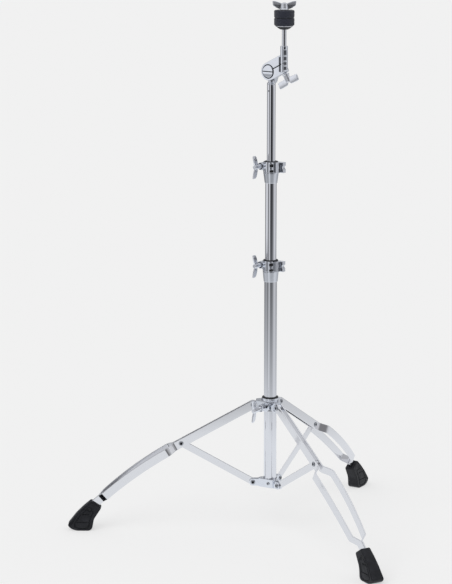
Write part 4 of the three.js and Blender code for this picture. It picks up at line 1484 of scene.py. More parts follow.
@dataclass
class Clamp:
    """A hinged tube clamp: body, jaw, bushing, hinge pin, nut and wing bolt.

    It is drawn with x the way that the bolt points, y towards the hinge, and z = 0 at the
    seat where the outer tube ends.
    """

    prefix: str
    outer_tube: float
    inner_tube: float
    ring: float
    angle: float = 235.0
    height: float = 23.5
    cone_height: float = 24.0
    cone_wall: float = 1.1
    bushing_wall: float = 1.8
    bushing_lip: float = 1.5
    hollow_depth: float = 4.0
    hollow_sink: float = 0.6
    hollow_rim_share: float = 1.5
    hollow_cheek: float = 3.6
    ear_groove: Point = (5.7, 7.2)
    ear_groove_depth: float = 1.5
    groove_play: float = 0.15
    groove_fill_sink: float = 0.8
    tube_play: float = 0.2
    bolt_play: float = 0.8
    split: float = 2.4
    ear_thickness: float = 8.3
    ear_end: float = 8.4
    bolt_side: float = 23.0
    bolt_radius: float = BOLT_RADIUS
    hinge_side: float = 20.2
    knuckle_radius: float = 3.3
    hinge_pin: float = 1.6
    hinge_pin_edge: float = 0.4
    block_reach: float = 25.4
    block_depth: float = 9.0
    shoulder_depth: float = 13.4
    shoulder_reach: float = 16.5
    pocket_width: float = 7.0
    pocket_spans: Points = ((13.2, 19.4), (1.4, 6.2))
    pocket_angle: float = 40.0
    pocket_sink: float = 2.2
    pocket_play: float = 0.5
    lug_reach: float = 32.0
    lug_depth: float = 11.0
    lug_notch: float = 4.0
    nut_flats: float = 13.0
    nut_height: float = 6.5
    nut_chamfer: float = 0.8
    nut_chamfer_height: float = 1.0
    nut_edge: float = 0.2
    nut_turn: float = 30.0

    @property
    def bushing_bore(self) -> float:
        """Radius inside the bushing."""
        return self.inner_tube + self.tube_play

    @property
    def bushing_outer(self) -> float:
        """Radius outside the bushing."""
        return max(self.bushing_bore + self.bushing_wall, self.outer_tube + GAP)

    @property
    def bore(self) -> float:
        """Radius of the clamp's bore."""
        return self.bushing_outer + GAP

    @property
    def ear_face(self) -> float:
        """How far an ear's outer face is from the middle of the split."""
        return self.split / 2 + self.ear_thickness

    def seat(self) -> float:
        """Returns the height of the seat over the collar's pivots, from the frame."""
        low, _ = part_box(f"{self.prefix}_clamp_hinge_pin")
        return PLACE.height_of(low.z)

    def beside_bolt(self, form: Form, x: float = 0.0) -> Form:
        """Moves a form from the origin to the bolt's axis."""
        return moved(form, x, -self.bolt_side, self.height / 2)

    def ear(self) -> list[Point]:
        """Draws the ear that the bolt goes through.

        Returns:
            Its outline, on y and z.
        """
        middle = self.height / 2
        inner = self.ear_end - self.ring
        end = arc((-self.bolt_side, middle), self.ear_end, 90, 270, HALF_ROUND)
        return [(inner, middle + self.ear_end), *end, (inner, middle - self.ear_end)]

    def knuckle(self, low: float, high: float, extra: float = 0.0) -> Form:
        """Makes one knuckle of the hinge, or the room round one."""
        return moved(rod(self.knuckle_radius + extra, low, high, FEW), 0, self.hinge_side)

    def bolt_hole(self) -> Form:
        """Makes the cutter for the bolt's hole through both ears."""
        hole = rod(self.bolt_radius + self.bolt_play, -BEYOND, BEYOND, FEW)
        return self.beside_bolt(along_x(hole))

    def jaw(self) -> Form:
        """Makes the front jaw, with two pockets either side of a rib.

        Returns:
            The jaw, its edges still sharp.
        """
        top = self.height
        front = self.split / 2
        knuckle_low = top / 3 + GAP
        knuckle_high = 2 * top / 3 - GAP
        half_space = block((front, -BEYOND, -OVERRUN), (BEYOND, BEYOND, BEYOND))
        hoop = combined(rod(self.ring, GAP, top, MOST), [half_space], Cut.INSIDE)
        joins = [
            facing(slab(self.ear(), front, self.ear_face)),
            block((front, self.bore, GAP), (self.block_depth, self.block_reach, top)),
            block(
                (self.block_depth / 2, self.bore / 3, GAP),
                (self.shoulder_depth, self.shoulder_reach, top),
            ),
            self.knuckle(knuckle_low, knuckle_high),
        ]
        cutters = [
            rod(self.bore, -OVERRUN, top + OVERRUN, MOST), self.bolt_hole(),
            *self.pockets(0.0, self.ring + OVERRUN), self.hollow_and_shade(OVERRUN),
            self.groove(0.0, OVERRUN),
            self.knuckle(-OVERRUN, knuckle_low, GAP),
            self.knuckle(knuckle_high, top + OVERRUN, GAP),
        ]
        return carved(hoop, joins, cutters)

    def pockets(self, margin: float, front: float) -> list[Form]:
        """Makes what fills the jaw's two pockets.

        Args:
            margin: The room left round it.
            front: How far forward it comes.

        Returns:
            The upper and the lower filling.
        """
        near = self.shoulder_reach - OVERRUN - self.pocket_width
        far = near + self.pocket_width
        back = self.bore * cos(radians(self.pocket_angle))
        return [
            block((back, near + margin, low + margin), (front, far - margin, high - margin))
            for low, high in self.pocket_spans
        ]

    def groove(self, margin: float, proud: float) -> Form:
        """Makes the cutter for the groove round the bolt on the front ear, or the ring of painted
        shade that lies dark in that groove.

        Args:
            margin: The room left round it.
            proud: How far it stands out of the ear.

        Returns:
            The ring.
        """
        inner, outer = self.ear_groove
        low = self.ear_face - self.ear_groove_depth - margin
        profile = band(inner + margin, outer - margin, low, self.ear_face + proud)
        return self.beside_bolt(along_x(revolve(profile, SOME)))

    def pocket_shades(self) -> list[Form]:
        """Makes the painted shade in the jaw's pockets: dark blocks, clear of the bore.

        Returns:
            The upper and the lower block of painted shade.
        """
        bore = rod(self.bore + GAP, -OVERRUN, self.height + OVERRUN, MOST)
        floors = self.pockets(self.pocket_play, self.ring - self.pocket_sink)
        return [combined(floor, [bore], Cut.AWAY) for floor in floors]

    def hollow_and_shade(self, proud: float) -> Form:
        """Makes the cutter for the block's hollow end, or the block of painted shade that lies
        dark in that hollow.

        Args:
            proud: How far it stands out of the block's end.

        Returns:
            The block.
        """
        rim = self.hollow_sink * self.hollow_rim_share
        return block(
            (self.split / 2 + rim, self.block_reach - self.hollow_depth, GAP + rim),
            (self.block_depth - self.hollow_cheek, self.block_reach + proud, self.height - rim),
        )

    def body(self) -> Form:
        """Makes the rear body: a cone round the outer tube, half a ring, an ear and a lug.

        Returns:
            The body, its edges still sharp.
        """
        top = self.height
        back = -self.split / 2
        cone_bore = self.outer_tube + GAP
        shoulder = self.ring - GAP
        cone = revolve([
            (0, -self.cone_height), (cone_bore + self.cone_wall, -self.cone_height),
            (shoulder, -OVERRUN), (shoulder, 0), (0, 0),
        ], MOST)
        half_space = block((-BEYOND, -BEYOND, -BEYOND), (back, BEYOND, BEYOND))
        joins = [
            combined(rod(self.ring, -OVERRUN, top, MOST), [half_space], Cut.INSIDE),
            facing(slab(self.ear(), -self.ear_face, back)),
            block((-self.lug_depth, self.bore, 0), (back, self.lug_reach, top)),
            self.knuckle(0, top / 3),
            self.knuckle(2 * top / 3, top),
        ]
        notch = along_x(rod(self.lug_notch, -BEYOND, BEYOND, SOME))
        cutters = [
            rod(cone_bore, -self.cone_height - OVERRUN, OVERRUN, MOST),
            rod(self.bore, 0, top + OVERRUN, MOST), self.bolt_hole(),
            moved(notch, 0, self.lug_reach + self.lug_notch / 3, top / 2),
            self.knuckle(top / 3, 2 * top / 3, GAP),
        ]
        return carved(cone, joins, cutters)

    def bushing(self) -> Form:
        """Makes the bushing, whose lip stands above the ring.

        Returns:
            The bushing.
        """
        top = self.height + GAP
        lip = ((self.bore + self.ring) / 2, top, top + self.bushing_lip)
        return lipped(self.bushing_bore, self.bushing_outer, GAP, lip)

    def nut(self) -> Form:
        """Makes the hexagon nut, its corners turned down.

        Returns:
            The nut, standing on z = 0.
        """
        top = self.nut_height
        corner = self.nut_flats / sqrt(3)
        inner, outer = corner - self.nut_chamfer, corner + GAP
        shoulder = self.nut_chamfer_height
        crown = turned([
            (0, 0), (inner, 0), (outer, shoulder), (outer, top - shoulder), (inner, top), (0, top),
        ], self.nut_edge, SOME)
        hole = rod(self.bolt_radius + self.bolt_play, -OVERRUN, top + OVERRUN, FEW)
        hexagon = combined(rod(corner, 0, top, HEXAGON), [crown], Cut.INSIDE)
        return combined(hexagon, [hole], Cut.AWAY)

    def build(self) -> None:
        """Makes the clamp's pieces."""
        at = PLACE.at(self.angle, self.seat())
        name = f"{self.prefix}_clamp"
        jaw = f"{name}_jaw"
        add_piece(f"{name}_body_casting", cast(self.body()), at, CAST_CHROME, f"{name}_body")
        add_piece(f"{jaw}_casting", cast(self.jaw()), at, CAST_CHROME, jaw)
        # Painted shade: dark fills in the ear's groove, the jaw's two pockets and the block's
        # hollow end, where shade falls.
        groove = self.groove(self.groove_play, -self.groove_fill_sink)
        add_piece(f"{jaw}_groove", groove, at, PAINTED_SHADE_FILL, jaw)
        for label, floor in zip(("top", "bottom"), self.pocket_shades()):
            add_piece(f"{jaw}_{label}_pocket", floor, at, PAINTED_SHADE_FILL, jaw)
        add_piece(f"{jaw}_hollow", self.hollow_and_shade(-self.hollow_sink), at, PAINTED_SHADE_FILL, jaw)
        bushing = f"{name}_bushing"
        add_piece(f"{bushing}_moulding", self.bushing(), at, BLACK_NYLON_AND_DARK_LAYER, bushing)
        hinge = turned(band(0, self.hinge_pin, 0, self.height), self.hinge_pin_edge, FEW)
        hinge = moved(hinge, 0, self.hinge_side)
        add_piece(f"{name}_hinge_rod", hinge, at, ZINC_PLATE, f"{name}_hinge_pin")
        seat = self.ear_face + GAP
        nut = self.beside_bolt(spun(spun(self.nut(), self.nut_turn), -90, Axis.Y), -seat)
        add_piece(f"{name}_hex_nut", nut, at, ZINC_PLATE, f"{name}_nut")
        shank = 2 * seat + self.nut_height
        bolt = WingBolt(shank, flange=5.4, flange_height=1.5, hub=5.2, hub_tip=4.6).form()
        bolt = self.beside_bolt(along_x(bolt), seat)
        add_piece(f"{name}_wing_bolt_casting", bolt, at, WING_CHROME, f"{name}_wing_bolt")


@dataclass
class Tilter:
    """The tilter: a neck with its barrel, a split arm with the rod holder, a wing bolt.

    It is drawn with x the way that the arm points and z = 0 on the barrel's axis.
    """

    angle: float = 322.0
    slope: float = 26.5
    rise: float = 29.3
    barrel_radius: float = 15.5
    barrel_reach: float = 11.5
    barrel_dome: float = 2.6
    barrel_rim: float = 1.6
    barrel_rim_depth: float = 2.2
    rim_play: float = 0.1
    rim_fill: Point = (-0.2, 0.6)
    slot_width: float = 1.8
    slot_depth: float = 1.6
    slot_play: float = 0.2
    slot_fill: float = 1.0
    flat_depth: float = 0.8
    flat_turn: float = -35.0
    seam_low: float = 30.4
    seam_high: float = 34.2
    seam_depth: float = 1.4
    seam_bottom: float = 1.0
    seam_top: float = 34.0
    seam_margin: float = 0.5
    fill_margin: float = 0.4
    flat_groove: float = 1.8
    flat_heights: tuple[float, ...] = (50.5, 36.0, 24.5, 14.5, 3.5)
    cheek_radius: float = 16.5
    cheek_thickness: float = 11.0
    neck_radius: float = 7.3
    flange_thickness: float = 3.0
    plug_radius: float = 8.0
    plug_length: float = 34.0
    plug_chamfer: float = 1.0
    tube_radius: float = UPPER_TUBE
    pin_radius: float = 1.6
    pin_drop: float = 14.0
    pin_proud: float = 0.1
    arm_radius: float = 19.7
    arm_reach: float = 46.0
    arm_thickness: float = 12.0
    arm_end_drop: float = 12.0
    arm_split: float = 2.0
    arm_play: float = 0.2
    split_sink: float = 0.7
    split_play: float = 0.1
    split_end: float = 1.0
    bolt_reach: float = 38.0
    bolt_standoff: float = 2.5
    shank_share: float = 1.5
    bolt_radius: float = BOLT_RADIUS
    wing_span: float = 57.0
    wing_height: float = 17.0
    wing_hub_height: float = 19.0
    wing_curves: tuple[Curve, ...] = (
        (0.5, 0.1, 0.86, 0.1), (1, 0.1, 1, 0.26), (1, 0.6, 1, 0.86), (1, 1, 0.88, 1),
        (0.5, 1, 0.2, 0.96),
    )
    holder_radius: float = 8.2
    holder_side: float = 39.6
    holder_bottom: float = 1.0
    holder_top: float = 58.0
    rod_radius: float = ROD_RADIUS
    socket_depth: float = 30.0

    def height(self) -> float:
        """Returns the height of the barrel's axis over the collar's pivots, from the frame."""
        _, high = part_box("upper_tube")
        return PLACE.height_of(high.z) + self.rise

    def at_holder(self, form: Form) -> Form:
        """Moves a form from the barrel's middle to the rod holder's axis."""
        return moved(form, self.holder_side, -self.arm_thickness / 2)

    def sloped(self, form: Form) -> Form:
        """Turns what is drawn along a level arm to the arm's slope."""
        return spun(form, -self.slope, Axis.Y)

    def post(self) -> Form:
        """Makes the neck's plug, flange and post.

        Returns:
            The three in one turned form.
        """
        shoulder = GAP - self.rise
        flange = shoulder + self.flange_thickness
        below_arm = -self.arm_radius - GAP
        end = -self.rise - self.plug_length
        return revolve([
            (0, end), (self.plug_radius - self.plug_chamfer, end),
            (self.plug_radius, end + self.plug_chamfer), (self.plug_radius, shoulder),
            (self.tube_radius, shoulder), (self.tube_radius, flange),
            (self.neck_radius, flange + 1), (self.neck_radius, below_arm), (0, below_arm),
        ], MOST)

    def neck(self) -> Form:
        """Makes the neck: a plug in the tube, a post, a cheek and the barrel.

        Returns:
            The neck, its barrel domed at the front.
        """
        radius = self.barrel_radius
        reach = self.barrel_reach
        flange = GAP - self.rise + self.flange_thickness
        outline = [*arc((0, 0), self.cheek_radius, 0, 180, LOBE),
                   (-self.neck_radius, flange), (self.neck_radius, flange)]
        cheek = upright(slab(outline, -self.cheek_thickness, -GAP))
        back = -self.cheek_thickness / 2
        face = radius - self.barrel_rim
        rim = reach - self.barrel_rim_depth
        barrel = upright(revolve([
            (0, back), (radius, back), (radius, rim), (face, rim), (face, reach), (0, reach),
        ], MOST))
        half_slot = self.slot_width / 2
        slot = block(
            (-radius - OVERRUN, -reach - self.barrel_dome * 2, -half_slot),
            (radius + OVERRUN, self.slot_depth - reach, half_slot),
        )
        whole = cast(carved(self.post(), [cheek, barrel], [slot]))
        for vertex in whole.verts:
            spot = vertex.co
            if spot.y < self.slot_depth * 0.5 - reach and hypot(spot.x, spot.z) < radius:
                spot.y -= self.barrel_dome * (1 - (spot.z / radius) ** 2)
        return whole

    def arm(self) -> Form:
        """Makes the split arm, which grips the barrel and carries the rod holder.

        Returns:
            The arm, its edges still sharp.
        """
        thick = self.arm_thickness
        reach = self.arm_reach
        drop = self.arm_end_drop
        half_split = self.arm_split / 2
        corner = [(reach - drop, -self.arm_radius), (reach, -self.arm_radius), (reach, -drop)]
        outline = [*arc((0, 0), self.arm_radius, 90, 270, LOBE),
                   *rounded(corner, drop, closed=False, steps=8), (reach, self.arm_radius)]
        level = upright(slab(outline, self.arm_play / 2, thick))
        holder = self.at_holder(rod(self.holder_radius, self.holder_bottom, self.holder_top))
        bottom = self.holder_top - self.socket_depth
        rod_bore = rod(self.rod_radius + GAP, bottom, self.holder_top + OVERRUN)
        bolt_ends = (-self.arm_radius - OVERRUN, self.arm_radius / 2)
        bolt_bore = rod(self.bolt_radius + GAP, *bolt_ends, FEW)
        level_cutters = [
            cross_rod(self.barrel_radius + self.arm_play, thick + OVERRUN, 0, 0, MOST),
            block(
                (self.barrel_radius / 2, -thick - OVERRUN, -half_split),
                (reach + OVERRUN, OVERRUN, half_split),
            ),
            moved(bolt_bore, self.bolt_reach, -thick / 2),
        ]
        seam = block(
            (self.seam_low, -thick - OVERRUN, self.seam_bottom),
            (self.seam_high, self.seam_depth - thick, self.seam_top),
        )
        cutters = [*map(self.sloped, level_cutters), self.at_holder(rod_bore), seam,
                   *map(self.at_holder, self.flats())]
        return carved(self.sloped(level), [holder], cutters)

    def flats(self) -> list[Form]:
        """Makes the cutters for the flats on the front of the holder, one above the other.

        Returns:
            The cutters, round the holder's axis.
        """
        radius = self.holder_radius
        depth = radius - self.flat_depth
        spans = zip(self.flat_heights, self.flat_heights[1:])
        return [
            spun(block(
                (depth, -radius, low + self.flat_groove), (radius + OVERRUN, radius, high),
            ), self.flat_turn) for high, low in spans
        ]

    def shadows(self) -> list[tuple[str, str, Form]]:
        """Makes the painted shade in the joints: dark fills in the barrel's groove and slot and in
        the arm's split and seam.

        Returns:
            The name, the node and the form of each.
        """
        radius = self.barrel_radius
        face = radius - self.barrel_rim
        rim = self.barrel_reach - self.barrel_rim_depth
        low, high = (rim + past for past in self.rim_fill)
        profile = band(face + self.rim_play, radius - self.rim_play, low, high)
        ring = upright(turned(profile, self.rim_play, MOST))
        half_slot = self.slot_width / 2
        end = face - self.fill_margin
        line = block(
            (-end, -self.barrel_reach, self.slot_play - half_slot),
            (end, self.slot_fill - self.barrel_reach, half_slot - self.slot_play),
        )
        half_split = self.arm_split / 2
        split = self.sloped(block(
            (radius + 2 * GAP, -self.arm_thickness + self.split_sink,
             self.split_play - half_split),
            (self.arm_reach - self.split_end, -self.split_sink, half_split - self.split_play),
        ))
        floor = self.seam_depth - self.arm_thickness
        seam = block(
            (self.seam_low + self.fill_margin, floor - self.seam_margin,
             self.seam_bottom + self.seam_margin),
            (self.seam_high - self.slot_play, floor + self.fill_margin,
             self.seam_top - self.seam_margin),
        )
        return [
            ("tilter_barrel_groove", "tilter_neck", ring),
            ("tilter_barrel_slot", "tilter_neck", line),
            ("tilter_arm_split", "tilter_arm", split), ("tilter_arm_seam", "tilter_arm", seam),
        ]

    def wing_bolt(self) -> Form:
        """Makes the wing bolt, head down under the arm.

        Returns:
            The bolt.
        """
        bolt = WingBolt(
            self.bolt_standoff + self.arm_radius * self.shank_share - GAP, span=self.wing_span,
            height=self.wing_height, hub_height=self.wing_hub_height,
            wing_curves=self.wing_curves,
        ).form()
        seat = -self.arm_radius - self.bolt_standoff
        bolt = moved(spun(bolt, 180, Axis.X), self.bolt_reach, -self.arm_thickness / 2, seat)
        return self.sloped(bolt)

    def build(self) -> None:
        """Makes the tilter's pieces."""
        at = PLACE.at(self.angle, self.height())
        add_piece("tilter_neck_casting", self.neck(), at, CAST_CHROME, "tilter_neck")
        add_piece("tilter_arm_casting", cast(self.arm()), at, CAST_CHROME, "tilter_arm")
        half = self.tube_radius + self.pin_proud
        cross_pin = cross_rod(self.pin_radius, half, 0, -self.rise - self.pin_drop)
        add_piece("neck_cross_pin", cross_pin, at, BLACKED_STEEL, "neck_pin")
        # Painted shade: dark fills in the barrel's groove and slot and in the arm's split and
        # seam.
        for name, node, form in self.shadows():
            add_piece(name, form, at, PAINTED_SHADE_FILL, node)
        bolt = "tilter_wing_bolt"
        add_piece(f"{bolt}_casting", self.wing_bolt(), at, WING_CHROME, bolt)


@dataclass
class CymbalRod:
    """The cymbal rod with its sleeve, cup washer, felts and wing nut.

    It is drawn with z = 0 on the barrel's axis, like the tilter that carries it.
    """

    tilter: Tilter = field(default_factory=Tilter)
    radius: float = ROD_RADIUS
    edge: float = 0.5
    shown: float = 36.0
    thread_radius: float = 3.6
    thread_pitch: float = 1.25
    seat_radius: float = 9.0
    seat_top_radius: float = 14.5
    seat_height: float = 4.5
    cup_radius: float = 20.3
    cup_flat_radius: float = 15.0
    cup_thickness: float = 0.9
    cup_edge: float = 0.6
    dark_layer_radius: float = 18.9
    dark_layer_proud: float = 0.4
    dark_layer_edge: float = 0.1
    cup_rim: float = 4.4
    sleeve_wall: float = 1.8
    sleeve_edge: float = 0.4
    felt_radius: float = 22.6
    felt_thickness: float = 16.5
    felt_edge: float = 3.0
    felt_wander: float = 0.9
    felt_step: float = 1.2
    felt_segments: int = 128
    wander_scale: float = 0.22
    wander_kind: Point = (0.9, 2.1)
    wander_apart: float = 70.0
    face_wander: float = 0.4
    nut_flange: float = 8.6
    nut_flange_height: float = 2.0
    nut_hub: float = 7.5
    nut_hub_tip: float = 5.5
    nut_height: float = 15.0
    nut_edge: float = 0.8
    nut_wing_rise: float = 1.0
    nut_turn: float = 38.0
    tip_proud: float = 1.0

    def build(self) -> None:
        """Makes the rod and everything that sits on it."""
        place = Matrix.Translation((self.tilter.holder_side, -self.tilter.arm_thickness / 2, 0))
        at = PLACE.at(self.tilter.angle, self.tilter.height()) @ place
        seat = self.tilter.holder_top + self.shown
        cup = seat + self.seat_height
        lower = cup + self.cup_rim
        upper = lower + self.felt_thickness + GAP
        nut = upper + self.felt_thickness + GAP
        tip = nut + self.nut_height + self.tip_proud
        bottom = self.tilter.holder_top - self.tilter.socket_depth + GAP
        stem = turned(band(0, self.radius, bottom, seat), self.edge)
        screw = thread(self.thread_radius, self.thread_pitch, seat - OVERRUN, tip)
        add_piece("cymbal_rod_stem", gathered([stem, screw]), at, TUBE_CHROME, "cymbal_rod")
        hole = self.thread_radius + GAP
        sleeve = hole + self.sleeve_wall
        sleeve_top = nut - 2 * GAP
        moulding = turned([
            (hole, seat + GAP), (self.seat_radius, seat + GAP),
            (self.seat_top_radius, cup - 1), (self.seat_top_radius - 1, cup), (sleeve, cup),
            (sleeve, sleeve_top), (hole, sleeve_top),
        ], self.sleeve_edge)
        add_piece("rod_sleeve_moulding", moulding, at, BLACK_NYLON_AND_DARK_LAYER, "rod_sleeve")
        bore = sleeve + GAP
        add_piece("cup_washer_pressing", self.cup(bore, cup), at, TUBE_CHROME, "cup_washer")
        # A thin black layer on the cup's underside makes the cup look dark there.
        add_piece("cup_washer_dark_layer", self.cup_dark_layer(cup), at, BLACK_NYLON_AND_DARK_LAYER, "cup_washer")
        for index, (node, base) in enumerate((("lower_felt", lower), ("upper_felt", upper))):
            felt = self.felt(bore, base, index)
            add_piece(f"{node}_disc", felt, at, GREY_FELT, node, crease=80)
        wing_nut = moved(spun(self.nut(hole), self.nut_turn), z=nut)
        add_piece("wing_nut_casting", wing_nut, at, WING_CHROME, "wing_nut")

    def cup(self, hole: float, base: float) -> Form:
        """Makes the dished washer.

        Args:
            hole: Radius of its hole.
            base: Height of the seat under it.

        Returns:
            The washer.
        """
        low = base + GAP
        high = base + self.cup_rim - GAP
        middle = self.cup_flat_radius
        return turned([
            (hole, low), (middle, low), (self.cup_radius, high + GAP - self.cup_thickness),
            (self.cup_radius, high), (self.cup_radius - self.cup_thickness, high),
            (middle, low + self.cup_thickness), (hole, low + self.cup_thickness),
        ], self.cup_edge, MOST)

    def cup_dark_layer(self, base: float) -> Form:
        """Makes a thin black layer on the cup's underside, which makes the cup look dark there.

        Args:
            base: Height of the seat under the cup.

        Returns:
            The layer.
        """
        low = base + GAP
        middle = self.cup_flat_radius
        slope = (self.cup_rim - self.cup_thickness) / (self.cup_radius - middle)
        top = low + (self.dark_layer_radius - middle) * slope
        inner = self.seat_top_radius - self.dark_layer_proud
        proud = self.dark_layer_proud
        return turned([
            (inner, low - proud), (middle, low - proud), (self.dark_layer_radius, top - proud),
            (self.dark_layer_radius, top + proud / 2), (middle, low + proud / 2),
            (inner, low + proud / 2),
        ], self.dark_layer_edge, MOST)

    def felt_profile(self, hole: float, base: float) -> list[Point]:
        """Draws a felt's profile in short steps.

        Args:
            hole: Radius of the felt's hole.
            base: Height of its underside.

        Returns:
            The closed profile, with rounded edges.
        """
        corners = band(hole, self.felt_radius, base, base + self.felt_thickness)
        outline = rounded(corners, self.felt_edge, steps=6)
        profile: list[Point] = []
        for start, end in zip(outline, outline[1:] + outline[:1]):
            steps = max(1, round(dist(start, end) / self.felt_step))
            across, up = end[0] - start[0], end[1] - start[1]
            profile += [
                (start[0] + across * k / steps, start[1] + up * k / steps) for k in range(steps)
            ]
        return profile

    def felt(self, hole: float, base: float, index: int) -> Form:
        """Makes a felt whose pressed surface wanders a little.

        Args:
            hole: Radius of its hole.
            base: Height of its underside.
            index: Of the felt, so that no two wander alike.

        Returns:
            The felt.
        """
        form = revolve(self.felt_profile(hole, base), self.felt_segments)
        middle = (base + base + self.felt_thickness) / 2
        for vertex in form.verts:
            spot = vertex.co
            radius = hypot(spot.x, spot.y)
            if radius < hole + 1:
                continue
            seed = Vector((spot.x, spot.y, spot.z + self.wander_apart * index))
            wander = noise.fractal(seed * self.wander_scale, *self.wander_kind, 4)
            pull = -self.felt_wander * (0.5 + 0.5 * wander)
            if abs(spot.z - middle) > self.felt_thickness / 2 - 0.5:
                spot.z += -abs(pull) * self.face_wander * (1 if spot.z > middle else -1)
            else:
                spot.x += spot.x / radius * pull
                spot.y += spot.y / radius * pull
        return form

    def nut(self, hole: float) -> Form:
        """Makes the wing nut.

        Args:
            hole: Radius of its bore.

        Returns:
            The nut, standing on z = 0.
        """
        whole = WingBolt(
            0.0, flange=self.nut_flange, flange_height=self.nut_flange_height, hub=self.nut_hub,
            hub_tip=self.nut_hub_tip, hub_height=self.nut_height, hub_edge=self.nut_edge,
            rise=self.nut_wing_rise,
        ).head()
        return combined(whole, [rod(hole, -OVERRUN, self.nut_height + OVERRUN, SOME)], Cut.AWAY)


# Studio


@dataclass
class Studio:
    """The plain studio: a pale floor, soft light, and the bands that the chrome mirrors.

    The bands stand round the stand as a studio's soft boxes and dark gaps do. Each is an
    angle from the camera's side, positive to its right, and a brightness.
    """

    floor_colour: str = "F5F5F5"
    floor_radius: float = 60.0
    floor_low: float = -1.0
    floor_high: float = -0.05
    floor_segments: int = 128
    camera_place: Triple = (0.0950, -5.272, 1.6125)
    camera_heading: float = 0.928
    camera_pitch: float = 11.34
    camera_lens: float = 147.8
    camera_reach: float = 200.0
    sensor: float = 36.0
    sky: float = 0.62
    least_wall: float = 0.24
    key_energy: float = 1.25
    key_size: float = 50.0
    key_turn: Point = (38.0, -24.0)
    floor_glow: float = 0.6
    near_floor: float = 0.85
    floor_fall: float = 0.42
    pale_floor: str = "EEF1F5"
    near_reach: Point = (2.9, 3.8)
    overhead_rise: Point = (0.5, 0.85)
    overhead: Triple = (0.86, 0.88, 0.92)
    band_tint: Triple = (0.985, 1.0, 1.035)
    band_blue: float = 0.003
    wall_blue: float = 1.05
    bands: Points = (
        (-180, 0.34), (-172, 0.12), (-160, 0.2), (-128, 0.22), (-114, 0.55), (-100, 0.86),
        (-76, 0.9), (-66, 0.45), (-57, 0.2), (-46, 0.2), (-38, 0.4), (-32, 0.74), (-19, 0.72),
        (-14, 0.25), (-9, 0.04), (26, 0.03), (38, 0.1), (47, 0.3), (58, 0.45), (70, 0.5),
        (82, 0.82), (98, 0.78), (112, 0.5), (126, 0.28), (148, 0.36), (164, 0.6), (180, 0.6),
    )
    near_bands: Points = (
        (-180, 0.12), (-115, 0.14), (-92, 0.3), (-76, 0.28), (-64, 0.12), (-46, 0.05),
        (-38, 0.2), (-30, 0.6), (-20, 0.6), (-12, 0.25), (-4, 0.06), (16, 0.02), (30, 0.05),
        (48, 0.3), (66, 0.62), (80, 0.58), (98, 0.45), (122, 0.33), (150, 0.3), (180, 0.4),
    )

    def build(self) -> None:
        """Makes the camera, the floor, the lights and the world."""
        self.place_camera()
        self.lay_floor()
        self.light()
        bpy.context.scene.view_settings.view_transform = "Standard"

    def place_camera(self) -> None:
        """Sets the camera where the photograph was taken from."""
        data = bpy.data.cameras.new("camera")
        data.lens = self.camera_lens
        data.sensor_width = self.sensor
        data.clip_end = self.camera_reach
        camera = bpy.data.objects.new("camera", data)
        camera.location = self.camera_place
        tilt = radians(90 - self.camera_pitch)
        camera.rotation_euler = (tilt, 0, radians(self.camera_heading))
        bpy.context.scene.collection.objects.link(camera)
        bpy.context.scene.camera = camera

    def mirrored(self, tree: Tree, way: Socket, bands: Sequence[Point]) -> Socket:
        """Draws bands for a way out from the stand.

        Args:
            tree: The node tree that gets them.
            way: A vector whose x and y say which way it is.
            bands: Each band's angle and brightness.

        Returns:
            The brightness that way.
        """
        split = add(tree, "SeparateXYZ", {"Vector": way})
        ahead = add(tree, "Math", {0: split.outputs["Y"], 1: -1.0}, operation="MULTIPLY")
        turn = add(tree, "Math", {0: split.outputs["X"], 1: ahead.outputs[0]}, operation="ARCTAN2")
        share = add(tree, "MapRange", {
            "Value": turn.outputs[0], "From Min": -pi, "From Max": pi,
        })
        ramp = add(tree, "ValToRGB", {"Fac": share.outputs["Result"]})
        stops = ramp.color_ramp.elements
        for i, (angle, brightness) in enumerate(bands):
            position = (angle + 180) / 360
            stop = stops[i] if i < 2 else stops.new(position)
            stop.position = position
            red, green, blue = (brightness * tint for tint in self.band_tint)
            stop.color = (red, green, blue + self.band_blue, 1)
        return ramp.outputs["Color"]

    def mirror_ray(self, tree: Tree, path: Node) -> Socket:
        """Returns 1 for a ray that metal or glass sends out, and 0 for any other."""
        rays = {0: path.outputs["Is Glossy Ray"], 1: path.outputs["Is Transmission Ray"]}
        return add(tree, "Math", rays, operation="MAXIMUM").outputs[0]

    def floor_seen(self, tree: Tree) -> Socket:
        """Draws the floor that chrome sees, which fades into the bands away from the stand.

        Args:
            tree: The floor's node tree.

        Returns:
            Its colour.
        """
        place = add(tree, "TexCoord").outputs["Object"]
        away = add(tree, "VectorMath", {0: place}, operation="LENGTH").outputs["Value"]
        beyond = add(tree, "Math", {0: away, 1: self.near_floor}, operation="SUBTRACT")
        pale = add(tree, "Math", {
            0: self.floor_fall, 1: beyond.outputs[0],
        }, operation="POWER", use_clamp=True)
        start, end = self.near_reach
        far = add(tree, "MapRange", {"Value": away, "From Min": start, "From Max": end})
        banded = add(tree, "Mix", {
            0: far.outputs["Result"], 6: self.mirrored(tree, place, self.near_bands),
            7: self.mirrored(tree, place, self.bands),
        }, data_type="RGBA")
        return add(tree, "Mix", {
            0: pale.outputs[0], 6: banded.outputs[2], 7: linear(self.pale_floor),
        }, data_type="RGBA").outputs[2]

